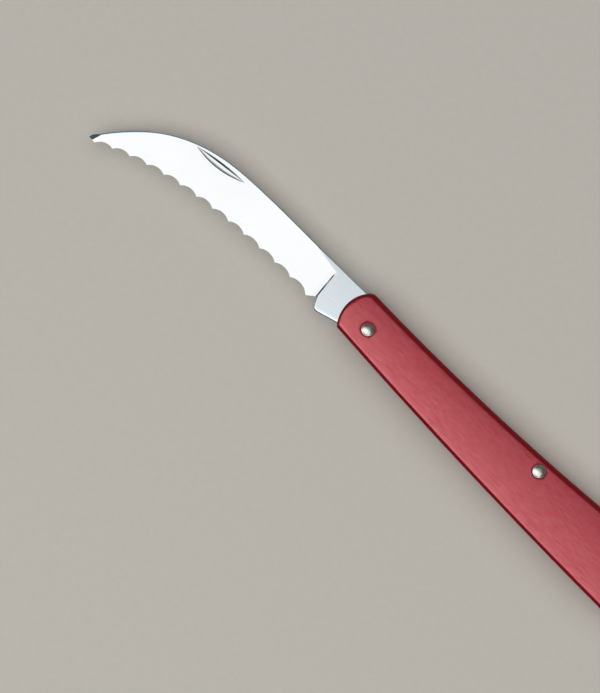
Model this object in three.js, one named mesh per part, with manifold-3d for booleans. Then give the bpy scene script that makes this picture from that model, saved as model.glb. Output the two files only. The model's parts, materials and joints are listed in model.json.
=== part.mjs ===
// A baker's folding knife: a hooked, scalloped blade that folds into a two-scale handle.
// Millimetres. While it is drawn, the pivot is at x = 0, y = 0, the handle runs along +x,
// the back of the knife faces +y, and the side with the nail nick faces +z.
import * as THREE from 'three';
import { mergeVertices } from 'three/addons/utils/BufferGeometryUtils.js';
import Module from 'manifold-3d';

const wasm = await Module();
wasm.setup();

// Layers, from the middle of the blade outwards
const bladeThickness = 2.0;
const bladeSideClearance = 0.05;
const scaleThickness = 2.1;

// Blade outline: reaches are measured from the pivot towards the tip, heights from the pivot
const tipReach = 69.4;
const tipHeight = -5.9;
const tipSpineLean = 5.2;
const tipSpineRise = 6.3;
const tipNoseRun = 0.2;
const tipNoseRise = 0.65;
const spineCrownReach = 41.2;
const spineCrownHeight = 8.4;
const crownFrontPull = 15.3;
const crownRearPull = 10;
const spineRearHeight = 5.35;
const spineRearPull = 10;
const spineRearRise = 0.45;

// Scalloped edge, from the land under the tip to the heel
const tipLand = 1.7;
const tipLandDrop = 0.15;
const edgeTipPull = 16;
const edgeTipRise = 6.35;
const edgeHeelPull = 16;
const edgeHeelRise = 1.5;
const edgeHeelHeight = -2.36;
const scallopCount = 13;
const scallopGrowth = 1.14;
const scallopDepth = 0.82;
const scallopLean = 2.0;

// Grind of the blade
const edgeThickness = 0.5;
const plungeReach = 12.3;
const plungeRun = 0.4;
const plungeBand = 1.6;
const grindRunOut = 10;
const spineThinning = 3;

// Swedge at the tip
const swedgeLength = 3.4;
const swedgeWidth = 0.95;
const swedgeDrop = 0.42;

// Nail nick: a lens about a chord, with its steep wall towards the spine
const nickReach = 44.7;
const nickInset = 1.37;
const nickLength = 12.4;
const nickRise = 0.45;
const nickFall = 1.1;
const nickWall = 0.42;
const nickDepth = 0.2;
const nickFloorCurve = 4;
const nickTilt = 2;
const nickEnd = 0.02;

// Heel, choil and ricasso
const heelLength = 2.55;
const heelNubLength = 0.5;
const heelNubDrop = 0.44;
const choilHeight = -1.5;
const ricassoLean = 0.7;
const kickHeight = -4.15;
const kickLean = 1.0;
const kickFrontRise = 0.75;
const kickRound = 1.1;
const kickRearRise = 0.2;
const reliefReach = 4.0;
const reliefHeight = -2.75;

// Tang cam: two flats on a round, and a shoulder that the spring's end abuts
const shoulderReach = 2.65;
const camFlat = 3.4;
const camLift = 0.5;
const closedFlatFront = 2.4;

// Handle outline: heights of the back and the belly at the front, the middle and the butt
const frontBellyReach = 5.25;
const frontBellyHeight = -3.7;
const frontBackReach = 4.75;
const frontBackHeight = 6.2;
const frontCorner = 0.8;
const frontBulge = 1.64;
const middleBackHeight = 2.78;
const middleBellyHeight = -9.55;
const buttBackHeight = 1.88;
const buttBellyHeight = -14.15;
const buttLength = 9.3;
const tipRoom = 1.4;
const tailLength = 12.2;
const buttRoundness = 0.5523;

// Edge of a scale: rounded all round, across a smaller share of that width at the front
const scaleRound = 1.25;
const frontRoundShare = 0.58;

// Back spring
const springInset = 0.1;
const springTipGap = 0.05;
const springRestGap = 0.06;
const springNeck = 2.15;
const springRivetWall = 1.2;
const springTailDepth = 4.13;
const tailFillet = 2.0;

// Rivets
const pivotShank = 2.2;
const pivotHead = 2.75;
const pivotClearance = 0.05;
const rivetShank = 2.1;
const rivetHead = 2.8;
const rivetFit = 0.02;
const headDome = 0.36;
const headSeat = 0.3;
const headClearance = 0.06;
const springRivetReach = 45.4;
const springRivetInset = 2.48;
const endRivetInset = 7.2;
const endRivetRise = 0.94;

// Fineness of the facets
const outlineSegments = 18;
const holeSegments = 36;
const domeSteps = 5;
const roundSteps = 5;
const nickStations = 16;
const nickFloorSteps = 4;
const grindStations = 22;
const weldDistance = 1e-5;
const searchSteps = 40;

// Sizes worked out from those above
const springThickness = bladeThickness + 2 * bladeSideClearance;
const innerFace = springThickness / 2;
const outerFace = innerFace + scaleThickness;
const tipRadius = Math.hypot(tipReach, tipHeight);
const tailFront = tipRadius + tipRoom;
const handleRear = tailFront + tailLength;
const buttStart = handleRear - buttLength;
const camRadius = camFlat + camLift;
const overshoot = 4;

const point = (x, y) => new THREE.Vector2(x, y);

// A shallow curve from start to end that passes their middle at a given height
function bow(start, height, end) {
  const control = point((start.x + end.x) / 2, 2 * height - (start.y + end.y) / 2);
  return new THREE.QuadraticBezierCurve(start, control, end);
}

// The sides of the handle's outline, drawn in by inset, and by a share of it at the front
function handleSides(inset) {
  const lowEnd = point(-frontBellyReach, frontBellyHeight);
  const highEnd = point(-frontBackReach, frontBackHeight - frontCorner);
  const chord = highEnd.clone().sub(lowEnd);
  const fullRadius = chord.lengthSq() / (8 * frontBulge) + frontBulge / 2;
  const across = point(chord.y, -chord.x).normalize();
  const centre = lowEnd.clone().add(highEnd).multiplyScalar(0.5);
  centre.addScaledVector(across, fullRadius - frontBulge);
  const radius = fullRadius - inset * frontRoundShare;
  const onFront = (y) => point(centre.x - Math.sqrt(radius ** 2 - (y - centre.y) ** 2), y);
  const belly = onFront(frontBellyHeight + inset);
  const corner = onFront(frontBackHeight - frontCorner - inset);
  const back = point(corner.x + 2 * frontCorner, frontBackHeight - inset);
  const rearBack = point(buttStart, buttBackHeight - inset);
  const rearBelly = point(buttStart, buttBellyHeight + inset);
  return {
    centre,
    radius,
    corner,
    backCurve: bow(back, middleBackHeight - inset, rearBack),
    bellyCurve: bow(belly, middleBellyHeight + inset, rearBelly),
  };
}

const { backCurve } = handleSides(0);

const spineCrown = point(-spineCrownReach, spineCrownHeight);
const tip = point(-tipReach, tipHeight);
const spineRear = point(-shoulderReach, spineRearHeight);
const tipNose = point(-tipReach + tipNoseRun, tipHeight + tipNoseRise);
const spineFront = new THREE.CubicBezierCurve(
  tipNose,
  point(-tipReach + tipSpineLean, tipHeight + tipSpineRise),
  point(-spineCrownReach - crownFrontPull, spineCrownHeight),
  spineCrown,
);
const spineBack = new THREE.CubicBezierCurve(
  spineCrown,
  point(-spineCrownReach + crownRearPull, spineCrownHeight),
  point(-shoulderReach - spineRearPull, spineRearHeight + spineRearRise),
  spineRear,
);
const edgeTip = point(-tipReach + tipLand, tipHeight - tipLandDrop);
const edgeHeel = point(-plungeReach - heelLength, edgeHeelHeight);
const edgeCurve = new THREE.CubicBezierCurve(
  edgeTip,
  point(edgeTip.x + edgeTipPull, edgeTip.y + edgeTipRise),
  point(edgeHeel.x - edgeHeelPull, edgeHeel.y + edgeHeelRise),
  edgeHeel,
);
const kickRear = point(-plungeReach + kickLean + kickRound, kickHeight + kickRearRise);

// Height of a curve that runs along +x, at a given x; past its ends it stays level
function heightAt(curve, x) {
  let low = 0;
  let high = 1;
  for (let i = 0; i < searchSteps; i += 1) {
    const middle = (low + high) / 2;
    if (curve.getPoint(middle).x < x) low = middle;
    else high = middle;
  }
  return curve.getPoint(low).y;
}

function spineHeight(x) {
  return heightAt(x < spineCrown.x ? spineFront : spineBack, x);
}

// The fold ends where the kick meets the neck of the spring
function findFoldAngle() {
  let low = Math.PI / 2;
  let high = Math.PI * 1.5;
  for (let i = 0; i < searchSteps; i += 1) {
    const middle = (low + high) / 2;
    const kick = kickRear.clone().rotateAround(point(0, 0), middle);
    if (kick.y < heightAt(backCurve, kick.x) - springNeck) low = middle;
    else high = middle;
  }
  return low;
}

const foldAngle = findFoldAngle();

// Closed meshes as solids, for joins and cuts
function solid(geometry) {
  const bare = geometry.clone();
  bare.deleteAttribute('normal');
  bare.deleteAttribute('uv');
  const merged = mergeVertices(bare, weldDistance);
  return new wasm.Manifold(new wasm.Mesh({
    numProp: 3,
    vertProperties: new Float32Array(merged.attributes.position.array),
    triVerts: new Uint32Array(merged.index.array),
  }));
}

function namedMesh(name, body, material) {
  const cut = body.getMesh();
  const geometry = new THREE.BufferGeometry();
  geometry.setAttribute('position', new THREE.BufferAttribute(cut.vertProperties, 3));
  geometry.setIndex(new THREE.BufferAttribute(cut.triVerts, 1));
  geometry.computeVertexNormals();
  const mesh = new THREE.Mesh(geometry, material);
  mesh.name = name;
  return mesh;
}

// A flat plate of an outline, centred on z = 0
function plate(shape, thickness) {
  const geometry = new THREE.ExtrudeGeometry(shape, {
    depth: thickness,
    curveSegments: outlineSegments,
    bevelEnabled: false,
  });
  geometry.translate(0, 0, -thickness / 2);
  return solid(geometry);
}

// A round bar along z
function bar(x, y, diameter, bottom, top) {
  const geometry = new THREE.CylinderGeometry(diameter / 2, diameter / 2, top - bottom, holeSegments);
  geometry.rotateX(Math.PI / 2);
  geometry.translate(x, y, (top + bottom) / 2);
  return solid(geometry);
}

// A body through sections that have their corners in the same turn, closed by a flat cap at each end
function loft(sections) {
  const corners = sections[0].length;
  const positions = sections.flatMap((section) => section.flatMap((corner) => corner.toArray()));
  const faces = [];
  for (let s = 0; s + 1 < sections.length; s += 1) {
    for (let c = 0; c < corners; c += 1) {
      const a = s * corners + c;
      const b = s * corners + ((c + 1) % corners);
      faces.push(a, b, b + corners, a, b + corners, a + corners);
    }
  }
  const last = (sections.length - 1) * corners;
  const [origin, first, second] = [sections[0][0], sections[0][1], sections[0][corners - 1]];
  const across = first.clone().sub(origin).normalize();
  const normal = across.clone().cross(second.clone().sub(origin)).normalize();
  const up = normal.clone().cross(across);
  const flat = (corner) => point(corner.dot(across), corner.dot(up));
  for (const [a, b, c] of THREE.ShapeUtils.triangulateShape(sections[0].map(flat), [])) faces.push(a, c, b);
  for (const [a, b, c] of THREE.ShapeUtils.triangulateShape(sections.at(-1).map(flat), [])) {
    faces.push(last + a, last + b, last + c);
  }
  const geometry = new THREE.BufferGeometry();
  geometry.setAttribute('position', new THREE.Float32BufferAttribute(positions, 3));
  geometry.setIndex(faces);
  return solid(geometry);
}

// The three rivets: where they stand and how thick they are
const springRivet = point(springRivetReach, heightAt(backCurve, springRivetReach) - springRivetInset);
const endRivet = point(handleRear - endRivetInset, (buttBackHeight + buttBellyHeight) / 2 + endRivetRise);
const rivets = [
  { name: 'pivot_rivet', x: 0, y: 0, shank: pivotShank, head: pivotHead },
  { name: 'spring_rivet', x: springRivet.x, y: springRivet.y, shank: rivetShank, head: rivetHead },
  { name: 'end_rivet', x: endRivet.x, y: endRivet.y, shank: rivetShank, head: rivetHead },
];

function handleShape(inset) {
  const { centre, radius, corner, backCurve: back, bellyCurve: belly } = handleSides(inset);
  const rear = handleRear - inset;
  const middle = (buttBackHeight + buttBellyHeight) / 2;
  const pull = buttStart + (rear - buttStart) * buttRoundness;
  const rise = (back.v2.y - belly.v2.y) / 2 * buttRoundness;
  const shape = new THREE.Shape();
  shape.moveTo(belly.v0.x, belly.v0.y);
  shape.quadraticCurveTo(belly.v1.x, belly.v1.y, belly.v2.x, belly.v2.y);
  shape.bezierCurveTo(pull, belly.v2.y, rear, middle - rise, rear, middle);
  shape.bezierCurveTo(rear, middle + rise, pull, back.v2.y, back.v2.x, back.v2.y);
  shape.quadraticCurveTo(back.v1.x, back.v1.y, back.v0.x, back.v0.y);
  shape.quadraticCurveTo(corner.x + frontCorner, back.v0.y, corner.x, corner.y);
  const upper = corner.clone().sub(centre).angle();
  const lower = belly.v0.clone().sub(centre).angle();
  shape.absarc(centre.x, centre.y, radius, upper, lower, false);
  return shape;
}

// One scale: outlines stacked from the inner face to the flat, with a seat for each rivet head
function scaleBody(side) {
  const profile = [[0, innerFace]];
  for (let i = 0; i <= roundSteps; i += 1) {
    const turn = (i / roundSteps) * Math.PI / 2;
    profile.push([scaleRound * (1 - Math.cos(turn)), outerFace - scaleRound * (1 - Math.sin(turn))]);
  }
  if (side < 0) profile.reverse();
  const ring = (inset) => {
    const points = handleShape(inset).getPoints(outlineSegments);
    return points.filter((p, i) => p.distanceTo(points.at(i - 1)) > weldDistance);
  };
  let body = loft(profile.map(([inset, z]) => ring(inset).map((p) => new THREE.Vector3(p.x, p.y, side * z))));
  for (const rivet of rivets) {
    const reach = outerFace + overshoot;
    const floor = outerFace - headSeat;
    body = body.subtract(bar(rivet.x, rivet.y, rivet.shank + 2 * rivetFit, -reach, reach));
    const [low, high] = side > 0 ? [floor, reach] : [-reach, -floor];
    body = body.subtract(bar(rivet.x, rivet.y, rivet.head + 2 * headClearance, low, high));
  }
  return body;
}

// One rivet: a shank with a domed head at each end, turned about its own axis
function rivetBody(rivet) {
  const seat = outerFace - headSeat;
  const headRadius = rivet.head / 2;
  const sphere = (headRadius ** 2 + headDome ** 2) / (2 * headDome);
  const half = [point(rivet.shank / 2, seat), point(headRadius, seat)];
  for (let i = 0; i < domeSteps; i += 1) {
    const radius = headRadius * Math.cos((i / domeSteps) * Math.PI / 2);
    half.push(point(radius, outerFace + headDome - sphere + Math.sqrt(sphere ** 2 - radius ** 2)));
  }
  half.push(point(0, outerFace + headDome));
  const mirrored = half.map((p) => point(p.x, -p.y)).reverse();
  const geometry = new THREE.LatheGeometry([...mirrored, ...half], holeSegments);
  geometry.rotateX(Math.PI / 2);
  geometry.translate(rivet.x, rivet.y, 0);
  return solid(geometry);
}

// The cam of the tang: a flat for the open blade, a round, and a flat for the folded blade
function camPoints() {
  const half = Math.sqrt(camRadius ** 2 - camFlat ** 2);
  const closedAngle = Math.PI / 2 - foldAngle;
  const normal = point(Math.cos(closedAngle), Math.sin(closedAngle));
  const along = point(-normal.y, normal.x);
  const onFlat = (offset) => normal.clone().multiplyScalar(camFlat).addScaledVector(along, offset);
  return { openEnd: point(half, camFlat), closedEnd: onFlat(half), closedFront: onFlat(-closedFlatFront) };
}

function bladeShape() {
  const { openEnd, closedEnd, closedFront } = camPoints();
  const kickFront = point(-plungeReach + ricassoLean, kickHeight + kickFrontRise);
  const shape = new THREE.Shape();
  shape.moveTo(tip.x, tip.y);
  shape.lineTo(edgeTip.x, edgeTip.y);
  shape.bezierCurveTo(edgeCurve.v1.x, edgeCurve.v1.y, edgeCurve.v2.x, edgeCurve.v2.y, edgeHeel.x, edgeHeel.y);
  shape.lineTo(edgeHeel.x + heelNubLength, edgeHeel.y - heelNubDrop);
  shape.lineTo(-plungeReach, choilHeight);
  shape.lineTo(kickFront.x, kickFront.y);
  shape.quadraticCurveTo(-plungeReach + kickLean, kickHeight, kickRear.x, kickRear.y);
  shape.lineTo(-reliefReach, reliefHeight);
  shape.quadraticCurveTo((closedFront.x - reliefReach) / 2, reliefHeight, closedFront.x, closedFront.y);
  shape.lineTo(closedEnd.x, closedEnd.y);
  shape.absarc(0, 0, camRadius, closedEnd.angle() - 2 * Math.PI, openEnd.angle(), false);
  shape.lineTo(-shoulderReach, camFlat);
  shape.lineTo(spineRear.x, spineRear.y);
  const { v1: r1, v2: r2 } = spineBack;
  shape.bezierCurveTo(r2.x, r2.y, r1.x, r1.y, spineCrown.x, spineCrown.y);
  const { v1: f1, v2: f2 } = spineFront;
  shape.bezierCurveTo(f2.x, f2.y, f1.x, f1.y, tipNose.x, tipNose.y);
  return shape;
}

// The ground face at x: from the line where the grind starts, down to the edge
function grindLine(x) {
  const run = -plungeReach - x;
  const band = Math.max(plungeBand * (1 - run / grindRunOut), -spineThinning);
  const start = point(spineHeight(x) - band, bladeThickness / 2);
  const edge = point(heightAt(edgeCurve, x), edgeThickness / 2);
  return { start, edge, slope: (start.y - edge.y) / (start.x - edge.x) };
}

// What the grinding wheel takes off one side of the blade
function grindWaste(side) {
  const top = bladeThickness / 2 + overshoot;
  const sections = [];
  const section = (x, start, low, startZ, lowZ) => {
    const ring = [[start, startZ], [low, lowZ], [low, top], [start, top]];
    const corners = ring.map(([y, z]) => new THREE.Vector3(x, y, side * z));
    return side > 0 ? corners : corners.reverse();
  };
  const first = grindLine(-plungeReach);
  const above = bladeThickness / 2 + bladeSideClearance;
  sections.push(section(-plungeReach, first.start.x, first.edge.x - overshoot, above, above));
  const span = tipReach + overshoot - plungeReach - plungeRun;
  for (let i = 0; i <= grindStations; i += 1) {
    const x = -plungeReach - plungeRun - span * (i / grindStations);
    const { start, edge, slope } = grindLine(x);
    sections.push(section(x, start.x, edge.x - overshoot, start.y, edge.y - overshoot * slope));
  }
  return loft(sections);
}

// One scallop: a leaning wheel that bites from the lower side and leaves the edge on the upper side
function scallopWaste(from, to) {
  const along = to.clone().sub(from);
  const chord = along.length();
  along.divideScalar(chord);
  const inward = point(-along.y, along.x);
  const radius = ((chord / 2) ** 2 + scallopDepth ** 2) / (2 * scallopDepth);
  const middle = from.clone().add(to).multiplyScalar(0.5).addScaledVector(inward, scallopDepth - radius);
  const edgeTop = edgeThickness / 2;
  const wheel = new THREE.CylinderGeometry(radius, radius, 2 * bladeThickness, holeSegments);
  wheel.rotateX(Math.PI / 2);
  wheel.applyMatrix4(new THREE.Matrix4().set(
    along.x, inward.x, -scallopLean * inward.x, middle.x + scallopLean * edgeTop * inward.x,
    along.y, inward.y, -scallopLean * inward.y, middle.y + scallopLean * edgeTop * inward.y,
    0, 0, 1, 0,
    0, 0, 0, 1,
  ));
  return solid(wheel);
}

// Height of the ground face above the middle of the blade
function groundHeight(x, y) {
  const { edge, slope } = grindLine(x);
  return edge.y + slope * (y - edge.x);
}

// The nail nick: a pressed hollow with a lens outline, a steep wall and a floor that curves up from its foot
function nickWaste() {
  const slope = Math.tan(THREE.MathUtils.degToRad(nickTilt));
  const above = bladeThickness / 2 + overshoot;
  const sections = [];
  for (let i = 0; i <= nickStations; i += 1) {
    const u = Math.cos((i / nickStations) * Math.PI);
    const open = Math.max(1 - u * u, nickEnd);
    const x = -nickReach + u * nickLength / 2;
    const chord = spineHeight(-nickReach) - nickInset + slope * (x + nickReach);
    const top = chord + nickRise * open;
    const foot = top - nickWall * open;
    const bottom = chord - nickFall * open;
    const ring = [[top, groundHeight(x, top)]];
    for (let j = 0; j <= nickFloorSteps; j += 1) {
      const w = j / nickFloorSteps;
      const y = foot + (bottom - foot) * w;
      ring.push([y, groundHeight(x, y) - nickDepth * open * (1 - w ** nickFloorCurve)]);
    }
    ring.push([bottom, above], [top, above]);
    sections.push(ring.map(([y, z]) => new THREE.Vector3(x, y, z)));
  }
  return loft(sections);
}

// The swedge: what lies above a plane that falls away towards the tip on the nick's side
function swedgeWaste() {
  const onSpine = spineFront.getPointAt(swedgeLength / spineFront.getLength());
  const onEdge = edgeTip.clone().sub(tip).setLength(swedgeWidth).add(tip);
  const lift = ({ x, y }, drop) => new THREE.Vector3(x, y, groundHeight(x, y) - drop);
  const start = lift(onSpine, 0);
  const along = lift(onEdge, 0).sub(start).normalize();
  const normal = along.clone().cross(lift(tip, swedgeDrop).sub(start)).normalize();
  if (normal.z < 0) normal.negate();
  const block = new THREE.BoxGeometry(2 * overshoot, 2 * overshoot, overshoot);
  block.translate(0, 0, overshoot / 2);
  block.applyMatrix4(new THREE.Matrix4().makeBasis(along, normal.clone().cross(along), normal).setPosition(start));
  return solid(block);
}

// Cusps between the scallops, a little further apart towards the heel
function edgeCusps() {
  const pitches = [];
  for (let i = 0; i < scallopCount; i += 1) {
    pitches.push(1 + (scallopGrowth - 1) * (i / (scallopCount - 1)));
  }
  const whole = pitches.reduce((sum, pitch) => sum + pitch, 0);
  let run = 0;
  const cusps = [edgeTip];
  for (const pitch of pitches) {
    run += pitch / whole;
    cusps.push(edgeCurve.getPointAt(Math.min(run, 1)));
  }
  return cusps;
}

function bladeBody() {
  let body = plate(bladeShape(), bladeThickness);
  body = body.subtract(grindWaste(1)).subtract(grindWaste(-1));
  const cusps = edgeCusps();
  for (let i = 0; i < scallopCount; i += 1) {
    body = body.subtract(scallopWaste(cusps[i], cusps[i + 1]));
  }
  body = body.subtract(nickWaste()).subtract(swedgeWaste());
  return body.subtract(bar(0, 0, pivotShank + 2 * pivotClearance, -bladeThickness, bladeThickness));
}

// The room in front of and below the spring, where the blade folds away
function wellShape() {
  const kick = kickRear.clone().rotateAround(point(0, 0), foldAngle);
  const camEnd = camPoints().openEnd;
  const seat = camFlat + springRestGap;
  const rivetUnder = springRivet.y - rivetShank / 2 - springRivetWall;
  const tailUnder = heightAt(backCurve, tailFront) - springTailDepth;
  const deep = buttBellyHeight - overshoot;
  const ahead = -tipReach;
  const above = frontBackHeight + overshoot;
  const shape = new THREE.Shape();
  shape.moveTo(ahead, deep);
  shape.lineTo(tailFront, deep);
  shape.lineTo(tailFront, tailUnder - tailFillet);
  shape.quadraticCurveTo(tailFront, tailUnder, tailFront - tailFillet, tailUnder);
  shape.splineThru([
    point((springRivetReach + tailFront) / 2, (rivetUnder + tailUnder) / 2),
    point(springRivetReach, rivetUnder),
    point(kick.x + kickRound, kick.y + springRestGap),
    point(kick.x - kickRound, kick.y + springRestGap),
    point(camEnd.x, seat),
  ]);
  shape.lineTo(-shoulderReach + springTipGap, seat);
  shape.lineTo(-shoulderReach + springTipGap, above);
  shape.lineTo(ahead, above);
  return shape;
}

function springBody() {
  let body = plate(handleShape(springInset), springThickness);
  body = body.subtract(plate(wellShape(), springThickness + overshoot));
  for (const rivet of rivets) {
    body = body.subtract(bar(rivet.x, rivet.y, rivet.shank + 2 * rivetFit, -outerFace, outerFace));
  }
  return body;
}

const polishedSteel = () => new THREE.MeshStandardMaterial({ color: 0xe6e9ee, roughness: 0.12, metalness: 1 });
const springSteel = () => new THREE.MeshStandardMaterial({ color: 0xb9bcc2, roughness: 0.35, metalness: 1 });
const redAnodised = () => new THREE.MeshStandardMaterial({ color: 0xb2303c, roughness: 0.38, metalness: 0.9 });
const nickelSilver = () => new THREE.MeshStandardMaterial({ color: 0xd3c9ac, roughness: 0.18, metalness: 1 });

const knife = new THREE.Group();
knife.add(namedMesh('blade', bladeBody(), polishedSteel()));
knife.add(namedMesh('backspring', springBody(), springSteel()));
knife.add(namedMesh('top_scale', scaleBody(1), redAnodised()));
knife.add(namedMesh('bottom_scale', scaleBody(-1), redAnodised()));
for (const rivet of rivets) {
  knife.add(namedMesh(rivet.name, rivetBody(rivet), nickelSilver()));
}

// The finished knife lies on its lower side, over the middle of its own box
const box = new THREE.Box3().setFromObject(knife);
const centre = box.getCenter(new THREE.Vector3());
knife.position.set(-centre.x, -centre.y, -box.min.z);

const root = new THREE.Group();
root.add(knife);

export default root;
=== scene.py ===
"""A baker's folding knife, lying open on a pale floor.

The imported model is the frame. Each of its solids gets a finer piece in its place, with soft edges, ground and
polished faces and procedural finishes, and the piece rides on the body of the solid that it stands for.

Sizes are in millimetres in the knife's own frame: the pivot is at x = 0, y = 0, the handle runs along +x, the
back of the knife faces +y, and z = 0 is the middle of the blade's thickness.
"""

import json
import logging
import math
from dataclasses import dataclass, field
from enum import Enum
from functools import cache, cached_property
from typing import Any, Callable, ClassVar, Iterable, Sequence

import bmesh
import bpy
from bmesh.types import BMesh, BMVert
from bpy.types import Material, Node, NodeSocket, NodeTree, Object
from mathutils import Matrix, Vector


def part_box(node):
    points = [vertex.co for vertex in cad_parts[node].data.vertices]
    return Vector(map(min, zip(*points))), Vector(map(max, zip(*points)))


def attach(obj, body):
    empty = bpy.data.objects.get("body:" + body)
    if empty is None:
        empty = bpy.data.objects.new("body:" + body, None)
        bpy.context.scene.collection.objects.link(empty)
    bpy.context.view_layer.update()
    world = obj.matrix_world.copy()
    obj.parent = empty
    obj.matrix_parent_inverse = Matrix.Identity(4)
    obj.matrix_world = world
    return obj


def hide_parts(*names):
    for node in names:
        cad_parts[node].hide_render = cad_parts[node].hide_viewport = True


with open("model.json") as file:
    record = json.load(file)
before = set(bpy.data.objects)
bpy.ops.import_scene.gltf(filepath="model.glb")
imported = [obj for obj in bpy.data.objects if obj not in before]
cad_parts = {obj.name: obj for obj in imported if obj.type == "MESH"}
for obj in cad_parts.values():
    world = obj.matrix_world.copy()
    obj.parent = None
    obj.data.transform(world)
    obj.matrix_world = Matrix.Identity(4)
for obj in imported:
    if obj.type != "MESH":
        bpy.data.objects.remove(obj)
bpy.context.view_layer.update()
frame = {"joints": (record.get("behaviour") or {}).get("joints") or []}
log = logging.getLogger("knife")

MM = 0.001
WELD = 1e-7
HALVINGS = 40
QUARTER_TURN = 90
PHOTO_WIDTH = 600
PIVOT = Vector(frame["joints"][0]["pos_m"])
UNIT = (0.0, 1.0)

Pair = tuple[float, float]
Colour = tuple[float, float, float, float]
Curve = Callable[[float], Vector]
Rows = list[list[Vector]]


class Side(Enum):
    """The two flat sides of the knife, by the sign of their z."""

    UPPER = 1
    LOWER = -1


class Slot(Enum):
    """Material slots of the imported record."""

    BLADE = "blade_steel"
    SPRING = "spring_steel"
    SCALE = "red_anodised"
    RIVET = "nickel_silver"


class Body(Enum):
    """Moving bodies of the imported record."""

    HANDLE = "handle"
    BLADE = "blade"


# Curves and measures


def place(x: float, y: float, z: float) -> Vector:
    """A point of the knife's own frame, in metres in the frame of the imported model."""
    return PIVOT + Vector((x, y, z)) * MM


def flat(x: float, y: float) -> Vector:
    """A point in the plane of the blade."""
    return Vector((x, y))


def between(start: float, end: float, share: float) -> float:
    """The value at a share of the way from start to end."""
    return start + (end - start) * share


def clamped(t: float) -> float:
    """The value, held within 0 and 1."""
    return min(max(t, 0.0), 1.0)


def smooth_step(t: float) -> float:
    """0 to 1 with level ends."""
    t = clamped(t)
    return t * t * (3 - 2 * t)


def shares(count: int) -> list[float]:
    """Even steps from 0 to 1, without the 1."""
    return [i / count for i in range(count)]


def shares_to_end(count: int) -> list[float]:
    """Even steps from 0 to 1, without the 0."""
    return [(i + 1) / count for i in range(count)]


def eased(t: float, ease: float) -> float:
    """0 to 1 along a straight ramp whose two ends are rounded over a share of it.

    Args:
        t: place on the ramp.
        ease: share of the ramp that each rounding takes.

    Returns:
        The height there.
    """
    t = clamped(t)
    if t > 0.5:
        return 1 - eased(1 - t, ease)
    slope = 1 / (1 - ease)
    return slope * t * t / (2 * ease) if t < ease else slope * (t - ease / 2)


def bezier(*knots: Vector) -> Curve:
    """A smooth curve drawn by its knots.

    Args:
        knots: the start, the pulls and the end.

    Returns:
        The curve, as a function of 0 to 1.
    """

    def at(t: float) -> Vector:
        """Draws lines between the knots, and between points on these lines, until one point is left.

        Args:
            t: place on the curve, 0 to 1.

        Returns:
            The point there.
        """
        row = list(knots)
        while len(row) > 1:
            row = [a.lerp(b, t) for a, b in zip(row, row[1:])]
        return row[0]

    return at


def bow(start: Vector, height: float, end: Vector) -> Curve:
    """A shallow curve from start to end that passes their middle at a given height."""
    return bezier(start, flat((start.x + end.x) / 2, 2 * height - (start.y + end.y) / 2), end)


def points_on(curve: Curve, count: int) -> list[Vector]:
    """Evenly stepped points on a curve, without its end."""
    return [curve(t) for t in shares(count)]


def height_at(curve: Curve, x: float) -> float:
    """Height of a curve that runs along +x; past its ends it stays level.

    Args:
        curve: the curve.
        x: where to measure.

    Returns:
        The curve's y there.
    """
    low, high = UNIT
    for _ in range(HALVINGS):
        middle = (low + high) / 2
        if curve(middle).x < x:
            low = middle
        else:
            high = middle
    return curve(low).y


def height_on_line(line: Sequence[Vector], x: float) -> float:
    """Height of a line of straight runs along +x.

    Args:
        line: its corners, in order of x.
        x: where to measure.

    Returns:
        The line's y there.
    """
    for a, b in zip(line, line[1:]):
        if a.x <= x <= b.x and b.x > a.x:
            return a.y + (b.y - a.y) * (x - a.x) / (b.x - a.x)
    return line[-1].y if x > line[-1].x else line[0].y


# Meshes


def lay_grid(bm: BMesh, rows: Rows) -> list[BMVert]:
    """Lays a grid of faces on rows of points.

    Args:
        bm: the mesh to add to.
        rows: equally long rows of places, in metres.

    Returns:
        The grid's vertices, row by row.
    """
    made = bmesh.ops.create_grid(bm, x_segments=len(rows[0]) - 1, y_segments=len(rows) - 1, size=1.0)
    for vert, spot in zip(made["verts"], (spot for row in rows for spot in row)):
        vert.co = spot
    return made["verts"]


def close_up(bm: BMesh) -> None:
    """Welds seams, fills open ends and turns the faces outwards.

    Args:
        bm: the mesh to close.
    """
    bmesh.ops.remove_doubles(bm, verts=bm.verts, dist=WELD)
    bmesh.ops.dissolve_degenerate(bm, edges=bm.edges, dist=WELD)
    rim = [edge for edge in bm.edges if edge.is_boundary]
    if rim:
        bmesh.ops.holes_fill(bm, edges=rim, sides=0)
    bmesh.ops.recalc_face_normals(bm, faces=bm.faces)


def turned(profile: Sequence[Pair], spot: Vector, steps: int) -> BMesh:
    """A round piece about an upright axis.

    Args:
        profile: radius and height pairs from one end of the axis to the other.
        spot: place of the axis.
        steps: facets round the axis.

    Returns:
        The closed mesh.
    """
    bm = bmesh.new()
    verts = [bm.verts.new(place(spot.x + radius, spot.y, z)) for radius, z in profile]
    edges = [bm.edges.new(pair) for pair in zip(verts, verts[1:])]
    bmesh.ops.spin(
        bm,
        geom=verts + edges,
        cent=place(spot.x, spot.y, 0),
        axis=(0, 0, 1),
        angle=2 * math.pi,
        steps=steps,
        use_merge=True,
    )
    close_up(bm)
    return bm


def in_scene(name: str, data: bpy.types.ID) -> Object:
    """Puts a mesh, a light or a camera into the scene.

    Args:
        name: the new object's name.
        data: what it holds.

    Returns:
        The object.
    """
    made = bpy.data.objects.new(name, data)
    bpy.context.scene.collection.objects.link(made)
    return made


def as_object(name: str, bm: BMesh) -> Object:
    """Turns a finished bmesh into an object of the scene.

    Args:
        name: the object's name.
        bm: the mesh, which is used up.

    Returns:
        The object.
    """
    mesh = bpy.data.meshes.new(name)
    bm.to_mesh(mesh)
    bm.free()
    return in_scene(name, mesh)


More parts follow.
